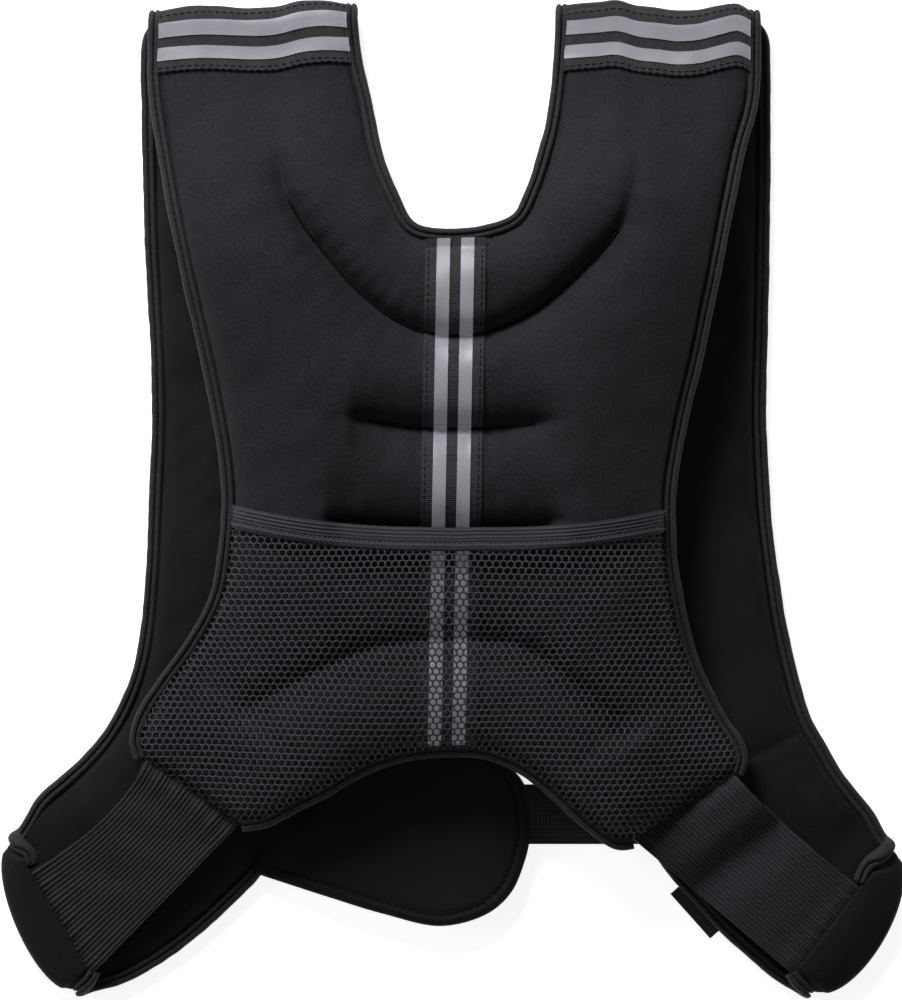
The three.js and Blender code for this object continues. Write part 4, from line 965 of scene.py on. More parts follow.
def woven_strap(name, colour):
    """Coarse plain weave: warp and weft threads that take turns on top, painted darker between the threads
    as shade and lighter where they cross on top as highlight.
    """
    f = Finish(name, 0.7, 0.18, 0.05)
    warp = f.wave(0.0019, "Y", 0.3)
    weft = f.wave(0.0015, "X", 0.3)
    cloud = f.noise(70, 3.0)
    knots = f.math("MULTIPLY", warp, weft)
    # Painted shade between the threads and painted highlight on the raised crossings, in step with the
    # weave's bump.
    base = f.blend(knots, shade(colour, 0.5), shade(colour, 1.5))
    base = f.faded(cloud, 0.3, base, shade(colour, 1.3))
    low = f.bump(f.noise(1400, 2.0), 0.0001, 0.4)
    return f.done(base, f.bump(knots, 0.0003, 0.6, low))


def moulded(name, colour):
    """Moulded plastic with a fine spark-eroded grain."""
    f = Finish(name, 0.5, 0.45)
    grain = f.noise(1800, 2.0)
    cloud = f.noise(40, 2.0)
    base = f.cloudy(cloud, colour, 0.85, 1.15)
    return f.done(base, f.bump(grain, 0.00006, 0.4),
                  f.math("ADD", f.math("MULTIPLY", grain, 0.2), 0.4))


def pale_floor(name, colour):
    f = Finish(name, 0.85, 0.1)
    cloud = f.noise(3, 2.0)
    base = f.cloudy(cloud, colour, 0.99, 1.0)
    f.fix({"Emission Color": (1, 1, 1, 1), "Emission Strength": 0.78})
    return f.done(base)


FINISHES = {
    "neoprene": lambda c: knit_face("neoprene face", c.neoprene, 0.04, 0.75, 0.6),
    "lining": lambda c: knit_face("lining knit", c.lining, 0.03, 0.75, 0.4),
    "binding": lambda c: knit_face("binding knit", c.binding, 0.04, 0.72, 0.45),
    "tape": lambda c: ribbed_tape("grosgrain", c.tape, 0.0009),
    "reflective": lambda c: glowing_mirror_cloth("glowing reflective cloth", c.reflective),
    "net": lambda c: yarn("net yarn", c.net, 0.5, 0.05, 1200),
    "hem": lambda c: rib_elastic("hem elastic", c.hem, 0.0018),
    "elastic": lambda c: rib_elastic("side elastic", c.elastic, 0.002),
    "webbing": lambda c: woven_strap("strap weave", c.webbing),
    "thread": lambda c: yarn("sewing thread", c.thread, 0.9, 0.0, 2600),
    "plastic": lambda c: moulded("buckle plastic", c.plastic),
    "floor": lambda c: pale_floor("studio floor", c.floor),
}


# User values

def colour_value(name, description, value):
    return bpy.props.FloatVectorProperty(
        name=name, description=description, subtype="COLOR", size=3, min=0, max=1, default=value)


def length_value(name, description, value):
    return bpy.props.FloatProperty(name=name, description=description, default=value, unit="LENGTH")


class VestSizes(bpy.types.PropertyGroup):
    quilt_roll: length_value("Quilt roll", "Reach of the soft roll beside a quilting seam", 0.026)
    stitch_pitch: length_value("Stitch pitch", "Distance from one stitch to the next", 0.0031)
    stitch_length: length_value("Stitch length", "Length of thread that shows in a stitch", 0.0023)
    thread_thickness: length_value("Thread", "Thickness of the sewing thread", 0.00055)
    net_pitch: length_value("Net pitch", "Distance between rows of the net's holes", 0.003)
    net_strand: length_value("Net strand", "Width of a strand of the net", 0.00095)
    elastic_rib: length_value("Elastic rib", "Distance between ribs of the side elastic", 0.002)
    weave: length_value("Strap weave", "Distance between warp cords of the strap", 0.0019)


class VestColours(bpy.types.PropertyGroup):
    neoprene: colour_value("Neoprene", "Knit face of the padded back", (0.0142, 0.0128, 0.0160))
    lining: colour_value("Lining", "Inner face of the front pieces", (0.0075, 0.0069, 0.0083))
    binding: colour_value("Binding", "Edge binding", (0.0225, 0.0212, 0.0245))
    tape: colour_value("Tape", "Grosgrain under the stripes", (0.030, 0.029, 0.033))
    reflective: colour_value("Reflective stripe", "Grey glowing reflective cloth", (0.26, 0.253, 0.282))
    net: colour_value("Net", "Yarn of the pocket's net", (0.050, 0.045, 0.055))
    hem: colour_value("Hem", "Ribbed hem of the pocket", (0.034, 0.031, 0.038))
    elastic: colour_value("Elastic", "Ribbed side elastic", (0.0280, 0.0255, 0.0305))
    webbing: colour_value("Webbing", "Front strap", (0.030, 0.029, 0.031))
    thread: colour_value("Thread", "Sewing thread", (0.003, 0.0028, 0.0034))
    plastic: colour_value("Plastic", "Buckle", (0.012, 0.012, 0.012))
    floor: colour_value("Floor", "Studio floor", (0.86, 0.86, 0.86))


# Pieces

BINDING_HALF = (
    (4.30, 0.0), (4.22, 1.2), (3.85, 2.3), (3.2, 2.95), (2.5, 3.1), (1.95, 2.8), (1.68, 2.0),
    (1.5, 1.35), (1.32, 2.0), (1.1, 2.75), (0.55, 3.15), (-0.15, 3.15), (-0.7, 2.7), (-1.0, 1.9),
)
BINDING_PROFILE = np.array([*BINDING_HALF, (-0.7, 0.0), *[(a, -h) for a, h in BINDING_HALF[:0:-1]]])
GROOVE = (1.5, 1.715)  # the stitch line on the binding: outwards and up
SAME_POINT = 0.05
EDGE_STEP = 1.1


class Edge:
    """Stations along a padded edge: the edge's middle, the way outwards and the way up."""

    def __init__(self, mid, out, normal):
        run = np.concatenate([mid, out, normal], axis=1)
        run = run[np.diff(run_of(mid), prepend=-1) > SAME_POINT]
        steps = run_of(run[:, :3])
        self.at = spread(0, steps[-1], max(2, round(steps[-1] / EDGE_STEP)))
        run = read(self.at, steps, run)
        kernel = np.array([1, 2, 3, 2, 1]) / 9
        for _ in range(2):
            soft = np.column_stack([np.convolve(c, kernel, "same") for c in run.T])
            run[2:-2] = soft[2:-2]
        self.mid = run[:, :3]
        along = unit(np.gradient(self.mid, axis=0))
        self.normal = unit(run[:, 6:])
        out = run[:, 3:6]
        self.out = unit(out - along * (out * along).sum(1, keepdims=True))

    def offset(self, across, height):
        return self.mid + self.out * across + self.normal * height


def flat_edge(plan, outs):
    """Edge stations of the back panel along a line in plan."""
    level = panel_surface(plan, quilted=False)[0]
    return [lifted(plan, level), lifted(outs, 0), np.tile(UP, (len(plan), 1))]


def panel_edge(side, column, outs, last):
    """Edge stations of the back panel, from the fold down one side of a half panel."""
    plan = GRIDS[side][:last, column]
    mids = [folded(plan[:1], turn, 0)[0] for turn in STRAP_TURNS]
    normals = [[0, math.sin(turn), math.cos(turn)] for turn in STRAP_TURNS]
    out = [side if column == 0 else -side, 0, 0]
    return joined([mids, np.tile(out, (len(mids), 1)), normals], flat_edge(plan, outs[:last]))


def joined(*runs):
    return [np.concatenate(parts) for parts in zip(*runs)]


def panel_edges():
    """The four bound edges of the back panel."""
    arms, necks, lowers = {}, {}, {}
    for side, half in HALVES.items():
        arms[side] = Edge(*panel_edge(side, 0, half["arm_out"], LAST_ROW + 1))
        necks[side] = panel_edge(side, -1, half["neck_out"], NECK_ROW + 1)
        lowers[side] = flat_edge(half["grid"][-1, WING_COLUMNS:], half["lower_out"])
    edges = {"arm_left": arms[LEFT], "arm_right": arms[RIGHT]}
    middles = (("neck", necks, STRIP[0], NECK_OUT), ("lower", lowers, STRIP[-1], LOWER_OUT))
    for name, ends, plan, outs in middles:
        right = [part[::-1] for part in ends[RIGHT]]
        edges[name] = Edge(*joined(ends[LEFT], flat_edge(plan[1:-1], outs[1:-1]), right))
    return edges


FRONT_SHARES = 0.5 - 0.5 * np.cos(math.pi * spread(0, 1, FRONT_COLUMNS))


def front_grid(side):
    """Mid points, normals and heights of a front piece, from the shoulder fold to the turned end."""
    rows = np.array(FRONT_ROWS[side])
    lines = []
    for points, hand in ((place(rows[:, :2]), side), (place(rows[:, 2:4]), -side)):
        padded = np.concatenate([points[:1], points, points[-1:]])
        lines.append(points - sideways(unit(padded[2:] - padded[:-2]), hand) * EDGE_INSET)
    share = FRONT_SHARES
    arc = np.sqrt(4 * share * (1 - share))

    def line_row(outer, inner, bow, level, normal, thickness, flat):
        chord = inner - outer
        length = np.linalg.norm(chord[:2])
        square = unit(np.array([chord[1] * -side, chord[0] * side]))
        mid = np.zeros((len(share), 3))
        mid[:, :2] = outer[:2] + chord[:2] * share[:, None] + square * (arc * bow * LENGTH)[:, None]
        mid[:, 2] = level
        inside = length * np.minimum(share, 1 - share)
        padding = crown((inside - EDGE_GROOVE) / FRONT_CROWN_REACH)
        dip = EDGE_DIP * (1 - smooth(1.5, 2.5, inside))
        if flat:
            up = EDGE_HALF + (thickness - FRONT_LEVEL - EDGE_HALF) * padding - dip
            down = EDGE_HALF + (FRONT_LEVEL - EDGE_HALF) * crown(inside / 6)
        else:
            up = down = EDGE_HALF + (thickness - EDGE_THICKNESS) / 2 * padding - dip
        normals = np.tile(normal, (len(share), 1))
        return np.column_stack([mid, normals, up, down])

    made = []
    first, last = GRIDS[side][0, [0, -1], 0]
    x = mix(first, last, share)
    padding = crown(abs(first - last) * np.minimum(share, 1 - share) / FRONT_CROWN_REACH)
    thick = EDGE_HALF + (SHOULDER_THICKNESS - EDGE_THICKNESS) / 2 * padding
    for degrees in FOLD_STEPS:
        turn = math.radians(degrees)
        normal = np.array([0, -math.sin(turn), math.cos(turn)])
        mid = np.column_stack([x, fold_axis(x), np.full(len(x), FOLD_LEVEL)]) - normal * FOLD_TURN
        made.append(np.column_stack([mid, np.tile(normal, (len(x), 1)), thick, thick]))
    shoulder = max(SHOULDER_THICKNESS, FRONT_LEVEL + EDGE_HALF)
    for (bow, full), a, b in zip(parts(rows[:, 4:]), *lines):
        made.append(line_row(a, b, bow, FRONT_LEVEL, UP, mix(shoulder, FRONT_THICKNESS, full), True))

    curl = CURLS[side]
    outer, inner = place([curl[:2], curl[2:4]])
    chord = unit(inner - outer)
    outer, inner = outer + chord * EDGE_INSET, inner - chord * EDGE_INSET
    away = np.array([chord[1] * -side, chord[0] * side])
    end_outer, end_inner = place([ENDS[side][:2], ENDS[side][2:]])
    for degrees in CURL_STEPS:
        turn = math.radians(degrees)
        back = CURL_THICKNESS / 2 + CURL_TURN * (1 - math.sin(turn))
        over = max(0.0, -math.cos(turn)) / 2
        a = mix(outer - away * back, end_outer, over)
        b = mix(inner - away * back, end_inner, over)
        normal = np.append(-away * math.sin(turn), math.cos(turn))
        level = FRONT_LEVEL + CURL_TURN * (1 - math.cos(turn))
        made.append(line_row(a, b, parts(curl[4]) * (1 - over), level, normal, CURL_THICKNESS, False))
    made.append(line_row(end_outer, end_inner, 0, CURL_TOP, -UP, CURL_THICKNESS, False))
    grid = through(np.stack(made), 2.2)
    grid[..., 3:6] = unit(grid[..., 3:6])
    return grid


def front_skins(grid, side):
    """Upper and lower skin of a front piece, with its soft unevenness."""
    mid, normal = grid[..., :3], grid[..., 3:6]
    up, down = grid[..., 6], grid[..., 7]
    flat = mid[..., :2].reshape(-1, 2)
    edge = crown(np.minimum(FRONT_SHARES, 1 - FRONT_SHARES) * 6)
    wave = 0.6 * ripple(flat, 40, 11 + side) + 0.25 * ripple(flat, 15, 17 + side)
    for rows, high, wide in FRONT_FOLDS[side]:
        wave += high * bell(nearest(through(place(rows), 2.0), flat)[0], wide)
    up = up + wave.reshape(up.shape) * edge * np.abs(normal[..., 2])
    return mid + normal * up[..., None], mid - normal * down[..., None]


def front_edges(grid):
    """The two bound edges of a front piece."""
    made = {}
    for key, column, other in (("outer", 0, -1), ("inner", -1, 0)):
        mid, normal = grid[:, column, :3], grid[:, column, 3:6]
        across = np.sign(grid[0, column, 0] - grid[0, other, 0])
        along = unit(np.gradient(mid, axis=0))
        out = unit(np.cross(along, normal))
        previous = np.array([across, 0, 0])
        for i, way in enumerate(out):
            out[i] = way * (1 if np.dot(way, previous) >= 0 else -1)
            previous = out[i]
        made[key] = Edge(mid, out, normal)
    return made


def add_binding(build, edge, seed):
    """A folded binding round an edge, drawn in a little at each stitch."""
    at = edge.at
    pinch = 1 - 0.05 * (0.5 + 0.5 * np.cos(TURN * at / (sizes().stitch_pitch / MM)))
    line = np.column_stack([at, np.zeros_like(at)])
    width = 1 + 0.05 * ripple(line, 26, seed) + 0.02 * ripple(line, 7, seed + 1)
    sway = 0.22 * ripple(line, 34, seed + 2)
    a, h = BINDING_PROFILE[:, 0], BINDING_PROFILE[:, 1]
    across = np.where(a[None] > 0, a[None] * np.minimum(width, 1.03)[:, None], a[None])
    high = h[None] * (pinch * width)[:, None] + (sway[:, None] * 0.4)
    rings = (edge.mid[:, None] + edge.out[:, None] * across[..., None]
             + edge.normal[:, None] * high[..., None])
    build.tube(rings, np.stack(np.broadcast_arrays(at[:, None], run_of(BINDING_PROFILE)[None]), -1))


def across_line(line, shares):
    """Points at even shares of the way across a line."""
    return read(shares, (line[:, 0] - line[0, 0]) / (line[-1, 0] - line[0, 0]), line)


def strap_points(side, distances, columns, lift):
    """Points on a strap's top and the ways up from it, at distances from the tape's start."""
    plan = GRIDS[side]
    wrapped = FOLD_REACH * TAPE_WRAP
    marks = np.arange(-3.0, 36.0, MARK_STEP)
    start = across_line(plan[0], columns)
    high = panel_surface(start)[1]
    base = np.empty((len(marks), len(columns), 3))
    for row, distance in enumerate(marks):
        if distance < wrapped:
            base[row] = folded(start, TAPE_WRAP * (1 - distance / wrapped), high[:, None])
            continue
        at = (distance - wrapped) / TAPE_FLAT * TAPE_ROWS
        line = across_line(mix(plan[int(at)], plan[int(at) + 1], at - int(at)), columns)
        base[row] = lifted(line, panel_top(line))
    ways = sheet_skins(base, 1.0)[2]
    tilt = np.interp(columns, [0, 0.35, 1], TAPE_TILT[side])
    at = (np.asarray(distances)[:, None] + tilt - marks[0]) / MARK_STEP
    low = at.astype(int)
    share, column = (at - low)[..., None], np.arange(len(columns))
    points = mix(base[low, column], base[low + 1, column], share)
    normal = unit(mix(ways[low, column], ways[low + 1, column], share))
    return points + normal * lift, normal


def sheet_skins(surface, thickness):
    """Upper and lower skin of a thin layer from the points of its middle."""
    down = np.gradient(surface, axis=0)
    across = np.gradient(surface, axis=1)
    normal = unit(np.cross(down, across))
    normal *= np.sign(normal[..., 2].mean()) or 1
    half = normal * np.broadcast_to(thickness, surface.shape[:2])[..., None] / 2
    return surface + half, surface - half, normal


def grid_uv(surface):
    """Lengths along the columns and the rows of a grid."""
    u, v = (np.append(0, np.cumsum(np.linalg.norm(np.diff(surface, axis=axis), axis=2).mean(1 - axis)))
            for axis in (1, 0))
    return np.stack(np.broadcast_arrays(u[None], v[:, None]), -1)


MARK_STEP = 0.5
SHORTEST_STRAND = 0.12
STRIPE_STARTS = ((TAPE_WIDTH - STRIPE_GAP) / 2 - STRIPE_WIDTH, (TAPE_WIDTH + STRIPE_GAP) / 2)


SIDES = {LEFT: "left", RIGHT: "right"}
SEAM_MERGE = 0.004  # points nearer than this are sewn into one
TAPE_STITCH = (3.0, 2.2)  # pitch and length
TAPE_SEAM = 1.5
THREAD_LIFT = 0.12
STRIPE_LIFT = 0.32
STRIPE_THICKNESS = 0.36
RIB_HEIGHT = 0.11
RIB_PITCH = 0.95


def plate(surface, thickness, name, look, node, relief=None, uv=None, sharp=50):
    """A thin layer round the points of its middle, with a relief on its upper face."""
    upper, lower, normal = sheet_skins(surface, thickness)
    if relief is not None:
        upper = upper + normal * relief
    build = Build()
    build.slab(upper, lower, uv=grid_uv(surface) if uv is None else uv)
    return build.piece(name, finish(look), look, [node], sharp=sharp)


class Piece:
    """What the vest's operators share."""

    bl_options = {"REGISTER", "UNDO"}


class VEST_OT_back_panel(Piece, bpy.types.Operator):
    """Padded back with its shoulder straps, waist and wings, quilted by sewn channels"""

    bl_idname = "vest.back_panel"
    bl_label = "Back panel"

    def execute(self, context):
        build = Build()
        for plan in GRIDS.values():
            upper, lower = panel_skins(plan)
            build.slab(upper, lower, "tbl")
            rows = len(STRAP_TURNS) + NECK_ROW + 1
            wall = np.stack([upper[:rows, -1], lower[:rows, -1]], 1)
            build.add(wall, quads_of(np.arange(2 * rows).reshape(rows, 2)))
        build.slab(*panel_skins(STRIP, fold=False), "tb")
        panel = build.piece("back_panel_padding", finish("neoprene"), "neoprene", ["back_panel"],
                            merge=SEAM_MERGE)
        turn_outwards(panel)
        return {"FINISHED"}


def turn_outwards(piece):
    """All faces of a closed piece turned to point outwards."""
    bpy.ops.object.select_all(action="DESELECT")
    piece.select_set(True)
    bpy.context.view_layer.objects.active = piece
    bpy.ops.object.mode_set(mode="EDIT")
    bpy.ops.mesh.select_all(action="SELECT")
    bpy.ops.mesh.normals_make_consistent(inside=False)
    bpy.ops.object.mode_set(mode="OBJECT")


class VEST_OT_front_pieces(Piece, bpy.types.Operator):
    """Two padded front pieces, each turned up over itself at the hip"""

    bl_idname = "vest.front_pieces"
    bl_label = "Front pieces"

    def execute(self, context):
        for side, name in SIDES.items():
            build = Build()
            build.slab(*front_skins(front_grid(side), side))
            piece = build.piece(f"front_padding_{name}", finish("lining"), "lining",
                                [f"front_panel_{name}"])
        return {"FINISHED"}


class VEST_OT_bindings(Piece, bpy.types.Operator):
    """Folded edge bindings with the stitching that holds them"""

    bl_idname = "vest.bindings"
    bl_label = "Bindings"

    def execute(self, context):
        edges = {f"binding_{name}": edge for name, edge in panel_edges().items()}
        for side, name in SIDES.items():
            for key, edge in front_edges(front_grid(side)).items():
                edges[f"binding_front_{name}_{key}"] = edge
        threads = Build()
        for number, (node, edge) in enumerate(edges.items()):
            build = Build()
            add_binding(build, edge, 31 + 5 * number)
            piece = build.piece(f"{node}_fold", finish("binding"), "binding", [node])
            add_stitches(threads, edge.offset(*GROOVE), edge.normal, turn=0.16)
        threads.piece("binding_stitches", finish("thread"), "binding")
        return {"FINISHED"}


class VEST_OT_tapes(Piece, bpy.types.Operator):
    """Ribbed tapes across the shoulders and down the back, each with two reflective stripes"""

    bl_idname = "vest.tapes"
    bl_label = "Tapes and stripes"

    def execute(self, context):
        threads = Build()
        columns = np.linspace(0.004, 0.996, 361)
        distances = np.linspace(0, TAPE_WIDTH, 21)
        for side, name in SIDES.items():
            width = abs(GRIDS[side][0, 0, 0] - GRIDS[side][0, -1, 0])
            line = np.column_stack([columns * width, np.zeros_like(columns)])
            wobble = np.outer(0.125 * ripple(line, 23, 61 + side), UP)
            middle = strap_points(side, distances, columns, CLEARANCE + TAPE_THICKNESS / 2)[0] + wobble
            ribs = RIB_HEIGHT * np.cos(TURN * columns * width / RIB_PITCH)
            piece = plate(middle, TAPE_THICKNESS, f"shoulder_grosgrain_{name}", "tape",
                          f"shoulder_tape_{name}", ribs[:, None])
            for key, start in zip(("upper", "lower"), STRIPE_STARTS):
                rows = np.linspace(start, start + STRIPE_WIDTH, 14)
                middle = strap_points(side, rows, columns[::5], TAPE_TOP + STRIPE_LIFT)[0] + wobble[::5]
                plate(middle, STRIPE_THICKNESS, f"shoulder_reflector_{name}_{key}",
                                     "reflective", f"shoulder_stripe_{name}_{key}")
            for distance, thick in ((1.9, 0.55), (TAPE_WIDTH - 1.7, 0.55), (TAPE_WIDTH - 0.1, 0.8)):
                row, ways = strap_points(side, [distance], columns, TAPE_TOP + THREAD_LIFT)
                add_stitches(threads, row[0] + wobble, ways[0], *TAPE_STITCH, thick)
        self.spine(threads)
        threads.piece("tape_stitches", finish("thread"), "tape")
        return {"FINISHED"}

    def spine(self, threads):
        """The spine tape, its stripes and the stitch rows on its sides."""
        fine = through(STRIP[1:-1, [0, -1]], 0.3)

        def laid(step, shares, lift):
            """Points on the quilted back, level with each other where the tape starts."""
            plan = mix(fine[::step, :1], fine[::step, 1:], shares[None, :, None])
            height = panel_top(plan) + lift
            even = math.ceil(14 / step)
            height[:even] = height[even]
            return lifted(plan, height)

        middle = laid(1, np.linspace(0, 1, 12), CLEARANCE + TAPE_THICKNESS / 2)
        uv = grid_uv(middle)[..., ::-1]
        ribs = RIB_HEIGHT * np.cos(TURN * uv[..., 0] / RIB_PITCH)
        piece = plate(middle, TAPE_THICKNESS, "spine_grosgrain", "tape", "spine_tape", ribs[..., None], uv)
        for key, start in zip(SIDES.values(), STRIPE_STARTS):
            shares = np.linspace(start, start + STRIPE_WIDTH, 8) / TAPE_WIDTH
            middle = laid(5, shares, TAPE_TOP + STRIPE_LIFT)
            plate(middle, STRIPE_THICKNESS, f"spine_reflector_{key}", "reflective",
                                 f"spine_stripe_{key}", uv=grid_uv(middle)[..., ::-1])
        for share in (TAPE_SEAM / TAPE_WIDTH, 1 - TAPE_SEAM / TAPE_WIDTH):
            line = mix(fine[::4, 0], fine[::4, 1], share)
            line = lifted(line, panel_top(line) + TAPE_TOP + THREAD_LIFT)
            add_stitches(threads, line, UP, *TAPE_STITCH, 0.5)


class VEST_OT_pocket(Piece, bpy.types.Operator):
    """Net pocket on the lower back with its ribbed hem"""

    bl_idname = "vest.pocket"
    bl_label = "Pocket"

    def surface(self):
        """The pocket's own surface: rows from the hem's top to the lower edge."""
        left, right = GRIDS[LEFT][HEM_ROW:], GRIDS[RIGHT][HEM_ROW:, ::-1]
        plan = np.concatenate([left, STRIP[HEM_ROW - NECK_ROW:, 1:-1], right], axis=1)
        shape = plan.shape[:2]
        level, bridged, _ = panel_surface(plan, quilted=False)
        up = mix(bridged, panel_surface(plan, detail=False)[1], 0.5)
        for rows, high, wide in POCKET_FOLDS:
            gap, where = nearest(through(place(rows), 3.0), plan.reshape(-1, 2))
            up = up + (high * bell(gap, wide) * smooth(0, 18, where)).reshape(shape)
        across = np.concatenate([
            spread(0, 12 / 26, PANEL_COLUMNS), spread(12 / 26, 14 / 26, STRIP_COLUMNS)[1:-1],
            spread(14 / 26, 1, PANEL_COLUMNS),
        ])
        down = np.concatenate([spread(0, 0.1, HEM_ROWS)[:-1], spread(0.1, 1, POCKET_ROWS)])
        rise = np.sin(math.pi * across)[None]
        over_tape = (TAPE_THICKNESS + 0.5 + 3 * CLEARANCE) * smooth(0.2, 0.9, rise)
        bag = POCKET_DEPTH * rise * (1 - smooth(0.15, 1, down))[:, None]
        soft = 0.35 * ripple(plan, 30, 71) * smooth(0, 0.5, rise)
        return lifted(plan, level + up + CLEARANCE + over_tape + bag + soft)

    def execute(self, context):
        surface = self.surface()
        threads = Build()
        hem = self.hem(surface, threads)
        self.net(surface[HEM_ROWS - 1:], [hem, threads.piece("hem_stitches", finish("net"), "hem")])
        return {"FINISHED"}

    def hem(self, surface, threads):
        """Ribbed elastic along the pocket's mouth, with a chain stitch in its lower part."""
        last = surface.shape[1] - 1
        columns = np.array([0.4, *range(1, last), last - 0.4])
        ends = [read(columns, np.arange(last + 1), surface[row]) for row in (0, HEM_ROWS)]
        share = np.linspace(0, 1, 45)
        middle = mix(ends[0], ends[1], share[:, None, None]) + UP * (HEM_THICKNESS / 2)
        ribs = np.where(share < 0.62, 0.16 * np.cos(TURN * share / 0.155), 0)
        dip = -0.45 * bell(share - 0.70, 0.035) - 0.35 * bell(share - 0.66, 0.015)
        roll = 0.35 * bell(share - 0.84, 0.10)
        rounded = -0.5 * np.exp(-share / 0.04) - 0.5 * np.exp(-(1 - share) / 0.04)
        relief = (ribs + dip + roll + rounded)[:, None, None]
        piece = plate(middle, HEM_THICKNESS, "pocket_elastic_hem", "hem", "pocket_hem", relief, sharp=60)
        upper, _, normal = sheet_skins(middle, HEM_THICKNESS)
        row = np.argmin(np.abs(share - 0.70))
        line = (upper + normal * relief)[row] + normal[row] * 0.15
        add_stitches(threads, line, normal[row], 2.1, 2.0, 0.75, turn=0.35)
        add_stitches(threads, line + [0, -0.5, 0], normal[row], 2.1, 1.7, 0.5, turn=-0.5)
        return piece

    def net(self, surface, on_it):
        """Hexagonal net stretched over the pocket's surface."""
        coarse = surface[::2, ::2]
        if len(surface) % 2 == 0:
            coarse = np.concatenate([coarse, surface[-1:, ::2]])
        index = np.arange(coarse[..., 0].size).reshape(coarse.shape[:2])
        tree = BVHTree.FromPolygons(coarse.reshape(-1, 3).tolist(), quads_of(index).tolist())
        flat = surface[..., :2].reshape(-1, 2)
        low, high = flat.min(0), flat.max(0)
        found = {}

        def drop(point):
            """The net's place and slope under a point, or None outside the pocket."""
            key = tuple(round(v, 3) for v in point)
            if key not in found:
                hit = tree.ray_cast((*point, ABOVE), DOWN)
                found[key] = None if hit[0] is None else (np.array(hit[0]), np.array(hit[1]))
            return found[key]

        starts, ends, normals = [], [], []
        for a, b in self.strands(low, high):
            hits = [drop(a), drop(b)]
            if hits[0] is None:
                hits.reverse()
                a, b = b, a
            if hits[0] is None:
                continue
            share = 1.0
            while hits[1] is None and share > SHORTEST_STRAND:
                share *= 0.65
                hits[1] = drop(mix(np.array(a), np.array(b), share))
            if hits[1] is None:
                continue
            starts.append(hits[0][0])
            ends.append(hits[1][0])
            normals.append(hits[0][1] + hits[1][1])
        starts, ends, normals = np.array(starts), np.array(ends), unit(np.array(normals))
        normals *= np.sign(normals[:, 2:3])
        along = unit(ends - starts)
        half = sizes().net_strand / MM / 2
        across = unit(np.cross(normals, along)) * half
        reach = along * half * 0.55
        rings = []
        for centre, wide in ((starts - reach, 1.12), ((starts + ends) / 2, 0.8), (ends + reach, 1.12)):
            centre = centre + normals * 0.35
            rings.append(np.stack([centre + across * wide, centre + normals * 0.34,
                                   centre - across * wide, centre - normals * 0.22], 1))
        index = np.arange(12).reshape(3, 4)
        faces = np.concatenate([quads_of(np.column_stack([index, index[:, 0]]))[:, TURNED_OVER],
                                [[0, 3, 2, 1], [8, 9, 10, 11]]])
        build = Build()
        build.add(np.stack(rings, 1), repeated(faces, len(starts), index.size))
        piece = build.piece("pocket_net", finish("net"), "net", ["pocket_mesh"])
        wide, tall = (high - low) * MM
        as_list(on_it)

    def strands(self, low, high):
        """Both ends in plan of each strand between two corners, a little swayed."""
        pitch = sizes().net_pitch / MM
        side = pitch / math.sqrt(3)

        def swayed(x, y):
            return (x + 0.45 * math.sin(x / 17 + y / 23) + 0.10 * math.sin(x * 1.7 + y * 2.3),
                    y + 0.45 * math.sin(x / 21 - y / 15) + 0.10 * math.sin(x * 2.1 - y * 1.3))

        row = 0
        y = low[1] - 1.5 * side
        while y < high[1] + 1.5 * side:
            x = low[0] - pitch + (pitch / 2 if row % 2 else 0)
            while x < high[0] + pitch:
                top = swayed(x, y + side / 2)
                yield swayed(x, y - side / 2), top
                yield top, swayed(x - pitch / 2, y + side)
                yield top, swayed(x + pitch / 2, y + side)
                x += pitch
            y += 1.5 * side
            row += 1


